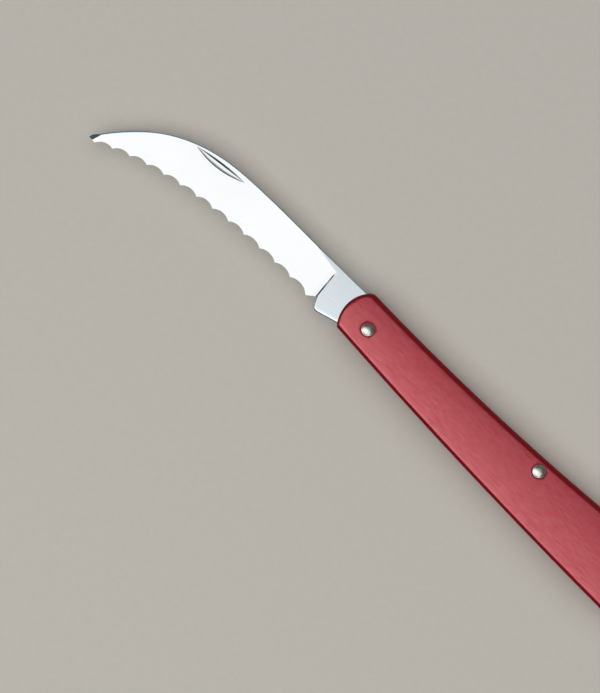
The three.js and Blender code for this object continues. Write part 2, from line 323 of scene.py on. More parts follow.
def drill(target: Object, tools: Iterable[BMesh]) -> None:
    """Cuts closed shapes out of a piece and leaves it without modifiers.

    Args:
        target: the piece.
        tools: the shapes to take away.
    """
    cutters = [as_object("cutter", tool) for tool in tools]
    for cutter in cutters:
        cut = target.modifiers.new("drill", "BOOLEAN")
        cut.operation = "DIFFERENCE"
        cut.solver = "EXACT"
        cut.object = cutter
    seen = target.evaluated_get(bpy.context.evaluated_depsgraph_get())
    solid, drilled = target.data, bpy.data.meshes.new_from_object(seen)
    target.modifiers.clear()
    target.data = drilled
    bpy.data.meshes.remove(solid)
    drilled.name = target.name
    for cutter in cutters:
        mesh = cutter.data
        bpy.data.objects.remove(cutter)
        bpy.data.meshes.remove(mesh)


def shade(piece: Object, crease: float) -> None:
    """Shades a piece smooth, apart from its sharp edges.

    Args:
        piece: the piece.
        crease: the angle in degrees from which an edge stays crisp.
    """
    bm = bmesh.new()
    bm.from_mesh(piece.data)
    for face in bm.faces:
        face.smooth = True
    for edge in bm.edges:
        edge.smooth = edge.is_manifold and edge.calc_face_angle() < math.radians(crease)
    bm.to_mesh(piece.data)
    bm.free()


class Piece:
    """What all pieces share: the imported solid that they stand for, a body to ride on and a material slot."""

    node: str
    body: ClassVar[Body] = Body.HANDLE
    slot: ClassVar[Slot]

    def build(self) -> Object:
        """Builds the piece's mesh object."""
        raise NotImplementedError

    def dress(self, finish: Material) -> None:
        """Builds the piece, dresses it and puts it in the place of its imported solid.

        Args:
            finish: its material.
        """
        piece = self.build()
        piece.data.materials.clear()
        piece.data.materials.append(finish)
        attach(piece, self.body.value)
        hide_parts(self.node)
        log.info("%s stands for %s with %d faces", piece.name, self.node, len(piece.data.polygons))


# Nodes and shared effects


class NodeSheet:
    """Adds nodes to one tree and joins them."""

    def __init__(self, tree: NodeTree) -> None:
        """Starts on a tree, which is emptied first."""
        self.tree = tree
        tree.nodes.clear()

    def add(self, kind: str, inputs: dict[Any, Any] | None = None, **settings: Any) -> Node:
        """Adds a node.

        Args:
            kind: the node's type.
            inputs: socket names or numbers, with a value or a socket to join.
            settings: the node's own settings.

        Returns:
            The node.
        """
        node = self.tree.nodes.new(kind)
        for name, value in settings.items():
            setattr(node, name, value)
        for name, value in (inputs or {}).items():
            if isinstance(value, NodeSocket):
                self.tree.links.new(value, node.inputs[name])
            else:
                node.inputs[name].default_value = value
        return node

    def operate(self, operation: str, a: Any, b: Any) -> NodeSocket:
        """Works out one sum of two values or sockets."""
        return self.add("ShaderNodeMath", {0: a, 1: b}, operation=operation).outputs[0]

    def times(self, a: Any, b: Any) -> NodeSocket:
        """The product of two values or sockets."""
        return self.operate("MULTIPLY", a, b)

    def plus(self, a: Any, b: Any) -> NodeSocket:
        """The sum of two values or sockets."""
        return self.operate("ADD", a, b)

    def stretch(self, vector: NodeSocket, scale: Any) -> NodeSocket:
        """A vector with each of its three values scaled."""
        return self.add("ShaderNodeVectorMath", {0: vector, 1: scale}, operation="MULTIPLY").outputs[0]

    def remap(self, value: NodeSocket, old: Pair, new: Pair) -> NodeSocket:
        """Stretches a value from one span to another, held at the ends."""
        spans = {"From Min": old[0], "From Max": old[1], "To Min": new[0], "To Max": new[1]}
        return self.add("ShaderNodeMapRange", {"Value": value, **spans}, clamp=True).outputs["Result"]

    def blend(self, share: Any, a: Any, b: Any) -> NodeSocket:
        """Mixes two colours, the node's sockets 6 and 7, by a share that is held within 0 and 1."""
        return self.add("ShaderNodeMix", {"Factor": share, 6: a, 7: b}, data_type="RGBA").outputs[2]

    def mix(self, share: Any, a: Any, b: Any) -> NodeSocket:
        """Mixes two values, the node's sockets 2 and 3, by a share that is held within 0 and 1."""
        return self.add("ShaderNodeMix", {"Factor": share, 2: a, 3: b}, data_type="FLOAT").outputs[0]

    def noise(
        self, vector: NodeSocket, scale: Any, detail: float, rough: float, warp: float = 0.0
    ) -> NodeSocket:
        """A cloudy value of 0 to 1."""
        inputs = {"Vector": vector, "Scale": scale, "Detail": detail, "Roughness": rough, "Distortion": warp}
        return self.add("ShaderNodeTexNoise", inputs).outputs["Fac"]


def start_group(name: str, *values: str) -> tuple[NodeSheet, Node]:
    """Starts a shared node group with a Vector input.

    Args:
        name: the group's name.
        values: names of its other inputs.

    Returns:
        The group's sheet and the node of its inputs.
    """
    tree = bpy.data.node_groups.new(name, "ShaderNodeTree")
    tree.interface.new_socket("Vector", in_out="INPUT", socket_type="NodeSocketVector")
    for label in values:
        tree.interface.new_socket(label, in_out="INPUT", socket_type="NodeSocketFloat")
    sheet = NodeSheet(tree)
    return sheet, sheet.add("NodeGroupInput")


def end_group(sheet: NodeSheet, outputs: dict[str, NodeSocket]) -> NodeTree:
    """Gives a shared node group its outputs.

    Args:
        sheet: the group's sheet.
        outputs: the values that it puts out, by name.

    Returns:
        The group.
    """
    for label in outputs:
        sheet.tree.interface.new_socket(label, in_out="OUTPUT", socket_type="NodeSocketFloat")
    sheet.add("NodeGroupOutput", outputs)
    return sheet.tree


@cache
def brushed_lines() -> NodeTree:
    """Fine lines that a belt or a wheel leaves along x.

    Returns:
        A group that puts out Lines, the fine ones, and Streaks, broader and fainter.
    """
    spread = (0.3, 0.7)
    sheet, given = start_group("brushed_lines", "Along", "Across")
    vector, along, across = given.outputs[:3]
    scale = sheet.add("ShaderNodeCombineXYZ", {0: along, 1: across, 2: across}).outputs[0]
    scaled = sheet.stretch(vector, scale)
    fine = sheet.noise(scaled, scale=1.0, detail=3.0, rough=0.6)
    broad = sheet.noise(scaled, scale=0.17, detail=2.0, rough=0.5)
    lines, streaks = sheet.remap(fine, spread, UNIT), sheet.remap(broad, spread, UNIT)
    return end_group(sheet, {"Lines": lines, "Streaks": streaks})


@cache
def handling_haze() -> NodeTree:
    """Faint cloudy marks of hands and cloths.

    Returns:
        A group that puts out Haze.
    """
    spread = (0.36, 0.68)
    sheet, given = start_group("handling_haze", "Size")
    vector, size = given.outputs[:2]
    cloud = sheet.noise(vector, size, detail=5.0, rough=0.62, warp=0.6)
    return end_group(sheet, {"Haze": sheet.remap(cloud, spread, UNIT)})


@cache
def small_scuffs() -> NodeTree:
    """A few short nicks and specks, longer along x than across.

    Returns:
        A group that puts out Scuffs.
    """
    squeeze, rim = (0.55, 1.3, 1.3), (0.05, 0.11)
    sheet, given = start_group("small_scuffs", "Density", "Rarity")
    vector, density, rarity = given.outputs[:3]
    squeezed = sheet.stretch(vector, squeeze)
    cells = sheet.add("ShaderNodeTexVoronoi", {"Vector": squeezed, "Scale": density, "Randomness": 1.0})
    near = sheet.remap(cells.outputs["Distance"], rim, (1.0, 0.0))
    draw = sheet.add("ShaderNodeSeparateColor", {0: cells.outputs["Color"]}).outputs[0]
    chosen = sheet.operate("GREATER_THAN", draw, rarity)
    return end_group(sheet, {"Scuffs": sheet.times(near, chosen)})


class FinishSheet(NodeSheet):
    """A material's sheet, with the shared effects at hand."""

    def coordinates(self, degrees: float) -> NodeSocket:
        """Object coordinates turned so that x runs along the finish's own lines."""
        here, turn = self.add("ShaderNodeTexCoord").outputs["Object"], (0.0, 0.0, math.radians(degrees))
        return self.add("ShaderNodeMapping", {"Vector": here, "Rotation": turn}).outputs[0]

    def effect(self, group: NodeTree, **inputs: Any) -> Node:
        """Places a shared effect with its own values or sockets."""
        return self.add("ShaderNodeGroup", inputs, node_tree=group)

    def brushing(self, vector: NodeSocket, scale: Pair) -> tuple[NodeSocket, NodeSocket]:
        """Fine lines and broader streaks, with a scale along and a scale across."""
        lines = self.effect(brushed_lines(), Vector=vector, Along=scale[0], Across=scale[1])
        return lines.outputs["Lines"], lines.outputs["Streaks"]

    def haze(self, vector: NodeSocket, size: float) -> NodeSocket:
        """Marks of hands and cloths."""
        return self.effect(handling_haze(), Vector=vector, Size=size).outputs["Haze"]

    def scuffs(self, vector: NodeSocket, spread: Pair) -> NodeSocket:
        """Short nicks of a density and a rarity."""
        nicks = self.effect(small_scuffs(), Vector=vector, Density=spread[0], Rarity=spread[1])
        return nicks.outputs["Scuffs"]

    def attribute(self, name: str) -> NodeSocket:
        """A value stored on the piece's own vertices."""
        return self.add("ShaderNodeAttribute", attribute_name=name, attribute_type="GEOMETRY").outputs["Fac"]

    def relief(self, height: NodeSocket, size: Pair) -> NodeSocket:
        """Normals for heights of 0 to 1; the size is their depth in metres and the share of the effect."""
        inputs = {"Height": height, "Distance": size[0], "Strength": size[1]}
        return self.add("ShaderNodeBump", inputs).outputs[0]


# Finishes


@dataclass(frozen=True)
class Finish:
    """What all finishes share: a name, and a shader whose sockets the finish fills."""

    name: str = "finish"

    def surface(self, sheet: FinishSheet) -> dict[str, Any]:
        """Values and sockets for the shader, by the names of its own sockets."""
        raise NotImplementedError

    def make(self) -> Material:
        """Builds the material.

        Returns:
            The material, with its shader joined to the output.
        """
        made = bpy.data.materials.new(self.name)
        made.use_nodes = True
        sheet = FinishSheet(made.node_tree)
        shader = sheet.add("ShaderNodeBsdfPrincipled", self.surface(sheet))
        sheet.add("ShaderNodeOutputMaterial", {"Surface": shader.outputs[0]})
        return made


@dataclass(frozen=True)
class RedAnodised(Finish):
    """Aluminium brushed lengthwise, then dyed red and sealed; a highlight is painted on the ridge of the
    rounded edges, and shade on their steep outer part.
    """

    name: str = "red_anodised_aluminium"
    deep: Colour = (0.75, 0.022, 0.047, 1.0)
    bright: Colour = (0.98, 0.0385, 0.08, 1.0)
    # A lighter red, painted as a highlight on the ridge of the rounded edges.
    ridge_highlight: Colour = (1.0, 0.18, 0.21, 1.0)
    scuffed: Colour = (0.16, 0.03, 0.035, 1.0)
    # A darker red, painted as shade on the steep outer part of the edges, where the gloss falls away.
    painted_edge_shade: Colour = (0.178, 0.0055, 0.007, 1.0)
    edge_tint: Colour = (0.7, 0.08, 0.1, 1.0)
    lean: float = 5.4
    line_scale: Pair = (420.0, 6500.0)
    haze_size: float = 70.0
    scuff_spread: Pair = (420.0, 0.93)
    line_share: float = 0.8
    haze_share: float = 0.05
    streak_share: float = 0.1
    # How the streaks break up the painted ridge highlight, and how strong that highlight is.
    ridge_highlight_streaks: Pair = (0.2, 1.0)
    ridge_highlight_share: Pair = (0.6, 0.85)
    scuff_share: float = 0.3
    # How much painted edge shade the least glossy rows get.
    edge_shade_share: float = 0.85
    roughness: Pair = (0.44, 0.54)
    haze_roughness: float = 0.02
    relief: Pair = (6e-6, 0.35)
    metal_gloss: Pair = (0.0, 0.8)
    metallic: Pair = (0.25, 1.0)
    coat: Pair = (0.45, 1.14)
    coat_roughness: float = 0.2
    coat_ior: float = 2.2
    ior: float = 1.2

    def surface(self, sheet: FinishSheet) -> dict[str, Any]:
        """Fills the shader.

        Args:
            sheet: the material's sheet.

        Returns:
            Values and sockets for the shader.
        """
        along = sheet.coordinates(self.lean)
        lines, streaks = sheet.brushing(along, self.line_scale)
        haze = sheet.haze(along, self.haze_size)
        scuffs = sheet.scuffs(along, self.scuff_spread)
        rim, gloss = sheet.attribute("rim"), sheet.attribute("gloss")
        grain = sheet.plus(sheet.times(lines, self.line_share), sheet.times(haze, self.haze_share))
        grain = sheet.plus(grain, sheet.times(streaks, self.streak_share))
        # Painted highlight: rim peaks on the ridge of the rounded edge, and a lighter red is mixed in there,
        # broken up by the streaks.
        ridge_highlight_mask = sheet.times(rim, sheet.remap(streaks, self.ridge_highlight_streaks, self.ridge_highlight_share))
        dyed = sheet.blend(grain, self.deep, self.bright)
        dyed = sheet.blend(ridge_highlight_mask, dyed, self.ridge_highlight)
        dyed = sheet.blend(sheet.times(scuffs, self.scuff_share), dyed, self.scuffed)
        # Painted shade: the red is painted darker where the gloss falls away, on the steep outer part of the
        # edge.
        dyed = sheet.blend(sheet.remap(gloss, UNIT, (self.edge_shade_share, 0.0)), dyed, self.painted_edge_shade)
        rough = sheet.plus(sheet.remap(lines, UNIT, self.roughness), sheet.times(haze, self.haze_roughness))
        return {
            "Base Color": dyed,
            "Roughness": rough,
            "Normal": sheet.relief(lines, self.relief),
            "Metallic": sheet.remap(gloss, self.metal_gloss, self.metallic),
            "Coat Weight": sheet.times(gloss, sheet.remap(lines, UNIT, self.coat)),
            "Coat Roughness": self.coat_roughness,
            "Coat IOR": self.coat_ior,
            "Specular Tint": self.edge_tint,
            "IOR": self.ior,
        }


@dataclass(frozen=True)
class PolishedSteel(Finish):
    """Blade steel: mirror polished on the ground faces, satin on the tang and in the scallops."""

    name: str = "polished_blade_steel"
    mirror: Colour = (0.935, 0.94, 0.955, 1.0)
    satin: Colour = (0.885, 0.97, 1.0, 1.0)
    hazed: Colour = (0.84, 0.93, 0.98, 1.0)
    lined: Colour = (0.75, 0.83, 0.885, 1.0)
    pressed: Colour = (1.0, 0.98, 0.91, 1.0)
    scuffed: Colour = (0.55, 0.57, 0.6, 1.0)
    buff_turn: float = 90.0
    buff_scale: Pair = (120.0, 5200.0)
    line_scale: Pair = (300.0, 4200.0)
    haze_size: float = 110.0
    scuff_spread: Pair = (480.0, 0.94)
    haze_share: float = 0.5
    line_share: float = 0.2
    scuff_share: float = 0.22
    pressed_gain: float = 2.5
    pressed_roughness: float = 0.9
    mirror_roughness: Pair = (0.045, 0.1)
    buff_roughness: float = 0.03
    satin_roughness: Pair = (0.1, 0.15)
    buff_height: float = 0.05
    relief: Pair = (4e-6, 0.3)

    def surface(self, sheet: FinishSheet) -> dict[str, Any]:
        """Fills the shader. A satin value above 1 stands for the pressed floor of the nail nick.

        Args:
            sheet: the material's sheet.

        Returns:
            Values and sockets for the shader.
        """
        along = sheet.coordinates(0.0)
        buffed, _ = sheet.brushing(sheet.coordinates(self.buff_turn), self.buff_scale)
        brushed, _ = sheet.brushing(along, self.line_scale)
        haze = sheet.haze(along, self.haze_size)
        scuffs = sheet.scuffs(along, self.scuff_spread)
        dull = sheet.attribute("satin")
        pressed = sheet.operate("MAXIMUM", sheet.operate("SUBTRACT", dull, 1.0), 0.0)
        tint = sheet.blend(sheet.times(haze, self.haze_share), self.satin, self.hazed)
        tint = sheet.blend(sheet.times(brushed, self.line_share), tint, self.lined)
        tint = sheet.blend(dull, self.mirror, tint)
        tint = sheet.blend(sheet.times(pressed, self.pressed_gain), tint, self.pressed)
        tint = sheet.blend(sheet.times(scuffs, self.scuff_share), tint, self.scuffed)
        shine = sheet.remap(haze, UNIT, self.mirror_roughness)
        shine = sheet.plus(shine, sheet.times(buffed, self.buff_roughness))
        rough = sheet.mix(dull, shine, sheet.remap(brushed, UNIT, self.satin_roughness))
        height = sheet.plus(sheet.times(brushed, dull), sheet.times(buffed, self.buff_height))
        return {
            "Base Color": tint,
            "Roughness": sheet.plus(rough, sheet.times(pressed, self.pressed_roughness)),
            "Normal": sheet.relief(height, self.relief),
            "Metallic": 1.0,
        }


@dataclass(frozen=True)
class GroundSteel(Finish):
    """Spring steel, ground along its length."""

    name: str = "ground_spring_steel"
    bright: Colour = (0.72, 0.73, 0.74, 1.0)
    dark: Colour = (0.45, 0.46, 0.48, 1.0)
    lean: float = 5.0
    line_scale: Pair = (70.0, 7000.0)
    haze_size: float = 120.0
    grain: Pair = (0.4, 0.9)
    roughness: Pair = (0.2, 0.36)
    relief: Pair = (5e-6, 0.4)

    def surface(self, sheet: FinishSheet) -> dict[str, Any]:
        """Fills the shader.

        Args:
            sheet: the material's sheet.

        Returns:
            Values and sockets for the shader.
        """
        along = sheet.coordinates(self.lean)
        lines, _ = sheet.brushing(along, self.line_scale)
        grain = sheet.times(lines, sheet.remap(sheet.haze(along, self.haze_size), UNIT, self.grain))
        return {
            "Base Color": sheet.blend(grain, self.bright, self.dark),
            "Roughness": sheet.remap(lines, UNIT, self.roughness),
            "Normal": sheet.relief(lines, self.relief),
            "Metallic": 1.0,
        }


@dataclass(frozen=True)
class NickelSilver(Finish):
    """Pale yellowish rivet metal, hammered round and polished."""

    name: str = "polished_nickel_silver"
    bright: Colour = (1.0, 0.985, 0.9, 1.0)
    dark: Colour = (0.88, 0.77, 0.52, 1.0)
    line_scale: Pair = (900.0, 5000.0)
    haze_size: float = 900.0
    haze_share: float = 0.45
    roughness: Pair = (0.17, 0.23)
    relief: Pair = (1.2e-5, 0.12)

    def surface(self, sheet: FinishSheet) -> dict[str, Any]:
        """Fills the shader.

        Args:
            sheet: the material's sheet.

        Returns:
            Values and sockets for the shader.
        """
        along = sheet.coordinates(0.0)
        lines, _ = sheet.brushing(along, self.line_scale)
        haze = sheet.haze(along, self.haze_size)
        return {
            "Base Color": sheet.blend(sheet.times(haze, self.haze_share), self.bright, self.dark),
            "Roughness": sheet.remap(lines, UNIT, self.roughness),
            "Normal": sheet.relief(haze, self.relief),
            "Metallic": 1.0,
        }


@dataclass(frozen=True)
class PaleFloor(Finish):
    """A plain pale matt surface with a faint tooth."""

    name: str = "pale_floor"
    colour: Colour = (0.76, 0.7, 0.62, 1.0)
    paler: Colour = (0.82, 0.765, 0.69, 1.0)
    roughness: float = 0.85
    specular: float = 0.2
    relief: Pair = (6e-5, 0.25)

    def surface(self, sheet: FinishSheet) -> dict[str, Any]:
        """Fills the shader.

        Args:
            sheet: the material's sheet.

        Returns:
            Values and sockets for the shader.
        """
        tooth = sheet.noise(sheet.coordinates(0.0), scale=700.0, detail=4.0, rough=0.6)
        return {
            "Base Color": sheet.blend(tooth, self.colour, self.paler),
            "Roughness": self.roughness,
            "Normal": sheet.relief(tooth, self.relief),
            "Specular IOR Level": self.specular,
        }


# Handle


@dataclass(frozen=True)
class HandleOutline:
    """Outline of the handle, which both scales and the spring share."""

    front_belly: Pair = (-5.25, -3.7)
    front_back: Pair = (-4.75, 6.2)
    front_corner: float = 0.8
    front_bulge: float = 1.64
    front_share: float = 0.58
    middle_back: float = 2.78
    middle_belly: float = -9.55
    butt_back: float = 1.88
    butt_belly: float = -14.15
    butt_start: float = 73.95
    butt_roundness: float = 0.5523
    rear: float = 83.25
    long_steps: int = 64
    round_steps: int = 22
    corner_steps: int = 8

    def front(self, inset: float) -> tuple[Vector, float]:
        """The arc at the front, drawn in by a share of the inset.

        Args:
            inset: how far inside the real outline.

        Returns:
            Its centre and its radius.
        """
        low = flat(*self.front_belly)
        high = flat(self.front_back[0], self.front_back[1] - self.front_corner)
        chord = high - low
        radius = chord.length_squared / (8 * self.front_bulge) + self.front_bulge / 2
        across = flat(chord.y, -chord.x).normalized()
        centre = (low + high) / 2 + across * (radius - self.front_bulge)
        return centre, radius - inset * self.front_share

    def on_front(self, inset: float, y: float) -> Vector:
        """The point of the front arc at a height."""
        centre, radius = self.front(inset)
        return flat(centre.x - math.sqrt(radius**2 - (y - centre.y) ** 2), y)

    def belly(self, inset: float) -> Curve:
        """The belly, from the front to the butt."""
        start = self.on_front(inset, self.front_belly[1] + inset)
        return bow(start, self.middle_belly + inset, flat(self.butt_start, self.butt_belly + inset))

    def corner(self, inset: float) -> Vector:
        """Where the front arc ends and the rounding to the back starts."""
        return self.on_front(inset, self.front_back[1] - self.front_corner - inset)

    def back(self, inset: float) -> Curve:
        """The back, from the front to the butt."""
        start = flat(self.corner(inset).x + 2 * self.front_corner, self.front_back[1] - inset)
        return bow(start, self.middle_back - inset, flat(self.butt_start, self.butt_back - inset))

    def butt(self, inset: float) -> tuple[Curve, Curve]:
        """The round end of the handle.

        Args:
            inset: how far inside the real outline.

        Returns:
            Its lower and its upper half, from the belly to the back.
        """
        rear = self.rear - inset
        low, high = self.belly(inset)(1.0), self.back(inset)(1.0)
        middle = (self.butt_back + self.butt_belly) / 2
        pull = between(self.butt_start, rear, self.butt_roundness)
        rise = (high.y - low.y) / 2 * self.butt_roundness
        end = flat(rear, middle)
        lower = bezier(low, flat(pull, low.y), flat(rear, middle - rise), end)
        upper = bezier(end, flat(rear, middle + rise), flat(pull, high.y), high)
        return lower, upper

    def ring(self, inset: float) -> list[Vector]:
        """The whole outline, drawn in by inset.

        Args:
            inset: how far inside the real outline.

        Returns:
            Its points in order, always as many.
        """
        belly, back = self.belly(inset), self.back(inset)
        lower, upper = self.butt(inset)
        corner, start = self.corner(inset), back(0.0)
        turn = bezier(start, flat(corner.x + self.front_corner, start.y), corner)
        centre, radius = self.front(inset)
        ends = (corner, belly(0.0))
        first, last = (math.atan2(p.y - centre.y, p.x - centre.x) % (2 * math.pi) for p in ends)

        def arc(t: float) -> Vector:
            """A point of the front arc."""
            angle = between(first, last, t)
            return centre + flat(math.cos(angle), math.sin(angle)) * radius

        ring = points_on(belly, self.long_steps)
        ring += points_on(lower, self.round_steps) + points_on(upper, self.round_steps)
        ring += points_on(lambda t: back(1.0 - t), self.long_steps)
        return ring + points_on(turn, self.corner_steps) + points_on(arc, self.round_steps)

    def facing_sides(self, inset: float) -> tuple[list[Vector], list[Vector]]:
        """The outline as two lines from the front to the rear, with points that face each other.

        Args:
            inset: how far inside the real outline.

        Returns:
            The line along the belly and the line along the back, equally long.
        """
        ring = self.ring(inset)
        half, rear = len(ring) // 2, self.long_steps + self.round_steps
        start = half + rear
        low = [ring[(start + i) % len(ring)] for i in range(half + 1)]
        return low, [ring[start - i] for i in range(half + 1)]


@dataclass(frozen=True)
class Rivet(Piece):
    """One rivet: a shank with a domed head at each end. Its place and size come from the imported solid."""

    slot: ClassVar[Slot] = Slot.RIVET
    node: str
    name: str
    shank: float
    bore_clearance: float = 0.02
    seat_depth: float = 0.3
    lip_width: float = 0.1
    ring_gap: float = 0.08
    scale_face: float = 3.15
    rim_width: float = 0.16
    rim_height: float = 0.07
    rim_steps: int = 5
    spare: float = 0.0005
    dome_steps: int = 9
    steps: int = 64
    crease: float = 40.0

    def axis(self) -> Vector:
        """Where the rivet stands, in the knife's own frame."""
        x, y, _ = sum(map(Vector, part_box(self.node)), Vector()) / 2 - PIVOT
        return flat(x / MM, y / MM)

    def half_extent(self, axis: int) -> float:
        """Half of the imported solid's extent along an axis."""
        low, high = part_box(self.node)
        return (high[axis] - low[axis]) / 2 / MM

    def head_radius(self) -> float:
        """Radius of the head."""
        return self.half_extent(0)

    def bore_radius(self) -> float:
        """Radius of the hole that the shank sits in."""
        return self.shank / 2 + self.bore_clearance

    def build(self) -> Object:
        """Turns the rivet.

        Returns:
            The rivet's object.
        """
        radius, top = self.head_radius(), self.half_extent(2) - self.spare
        crown, brow = radius - self.rim_width, self.scale_face + self.rim_height
        rise = top - brow
        ball = (crown**2 + rise**2) / (2 * rise)
        half = [(0.0, top)]
        for t in shares_to_end(self.dome_steps):
            r = crown * math.sin(t * math.pi / 2)
            half.append((r, top - ball + math.sqrt(ball**2 - r**2)))
        for t in shares_to_end(self.rim_steps):
            turn = t * math.pi / 2
            drop = 2 * self.rim_height * (1 - math.cos(turn))
            half.append((crown + self.rim_width * math.sin(turn), brow - drop))
        seat = self.scale_face - self.seat_depth
        half += [(radius, seat), (self.shank / 2, seat)]
        profile = half + [(r, -z) for r, z in reversed(half)]
        piece = as_object(self.name, turned(profile, self.axis(), self.steps))
        shade(piece, self.crease)
        return piece

    def seat_cutter(self, side: Side, reach: float) -> BMesh:
        """The hole that the rivet needs in one scale, with a softened lip.

        Args:
            side: which scale.
            reach: a height well outside the scale.

        Returns:
            The shape to take away.
        """
        bore, wide = self.bore_radius(), self.head_radius() + self.ring_gap
        seat, lip = self.scale_face - self.seat_depth, self.scale_face + self.lip_width
        profile = [(0.0, 0.0), (bore, 0.0), (bore, seat), (wide, seat)]
        profile += [(wide, self.scale_face - self.lip_width / 2), (wide + self.lip_width, lip)]
        profile += [(wide + self.lip_width, reach), (0.0, reach)]
        return turned([(r, side.value * z) for r, z in profile], self.axis(), self.steps)

    def bore_cutter(self, radius: float, reach: float) -> BMesh:
        """A plain round hole on the rivet's axis."""
        profile = [(0.0, -reach), (radius, -reach), (radius, reach), (0.0, reach)]
        return turned(profile, self.axis(), self.steps)


@dataclass(frozen=True)
class Scale(Piece):
    """One handle scale: a plate with well rounded edges that run on to a barely crowned face."""

    slot: ClassVar[Slot] = Slot.SCALE
    side: Side
    node: str
    name: str
    outline: HandleOutline
    rivets: tuple[Rivet, ...]
    inner: float = 1.05
    outer: float = 3.15
    seam: float = 0.1
    rounding: float = 1.12
    # Where on the rounding the ridge highlight is painted, and how wide it is.
    ridge_highlight_turn: float = 80.0
    ridge_highlight_spread: float = 7.0
    gloss_from: float = 55.0
    gloss_run: float = 28.0
    crown_gloss: float = 1.0
    crown_tilt: float = 0.06
    crown_drop: float = 0.2
    round_steps: int = 12
    crown_rows: int = 14
    reach: float = 6.0
    crease: float = 32.0

    def profile(self) -> list[tuple[float, float, float, float]]:
        """The edge from the inner face to the crown.

        Returns:
            Inset, height, share of the painted ridge highlight, and gloss of each row; where the gloss is low,
            shade is painted.
        """
        brow = self.outer - self.crown_drop
        rows = [(self.seam, self.inner, 0.0, 0.0), (0.0, self.inner + self.seam, 0.0, 0.0)]
        last = math.pi / 2 - math.atan(self.crown_tilt)
        for t in shares(self.round_steps) + [1.0]:
            turn = last * t
            inset = self.rounding * (1 - math.cos(turn))
            height = brow - self.rounding * (math.sin(last) - math.sin(turn))
            # Share of the painted highlight, which peaks on the ridge of the rounding.
            painted_highlight = math.exp(-(((math.degrees(turn) - self.ridge_highlight_turn) / self.ridge_highlight_spread) ** 2))
            # Gloss falls away on the steep outer part of the rounding, where shade is also painted.
            gloss = smooth_step((math.degrees(turn) - self.gloss_from) / self.gloss_run)
            rows.append((inset, height, painted_highlight, gloss))
        return rows

    def crown(self, inset: float) -> Rows:
        """The crowned face inside the rounding.

        Args:
            inset: inset of the rounding's last row.

        Returns:
            Rows of places from the belly to the back.
        """
        low, high = self.outline.facing_sides(inset)
        brow = self.outer - self.crown_drop
        rows: Rows = []
        for t in shares(self.crown_rows) + [1.0]:
            row = []
            for a, b in zip(low, high):
                rise = self.crown_tilt * (b - a).length * t * (1 - t)
                row.append(place(*a.lerp(b, t), self.side.value * (brow + rise)))
            rows.append(row)
        return rows

    def build(self) -> Object:
        """Builds the scale with its rivet seats.

        Returns:
            The scale's object.
        """
        bm = bmesh.new()
        rim, gloss = bm.verts.layers.float.new("rim"), bm.verts.layers.float.new("gloss")
        profile = self.profile()
        rows: Rows = []
        for inset, z, _, _ in profile:
            ring = self.outline.ring(inset)
            rows.append([place(*p, self.side.value * z) for p in ring + ring[:1]])
        # rim carries the share of the painted ridge highlight; gloss also sets where the edge shade is painted.
        for i, vert in enumerate(lay_grid(bm, rows)):
            vert[rim], vert[gloss] = profile[i // len(rows[0])][2:]
        for vert in lay_grid(bm, self.crown(profile[-1][0])):
            vert[gloss] = self.crown_gloss
        close_up(bm)
        piece = as_object(self.name, bm)
        drill(piece, [rivet.seat_cutter(self.side, self.reach) for rivet in self.rivets])
        shade(piece, self.crease)
        return piece


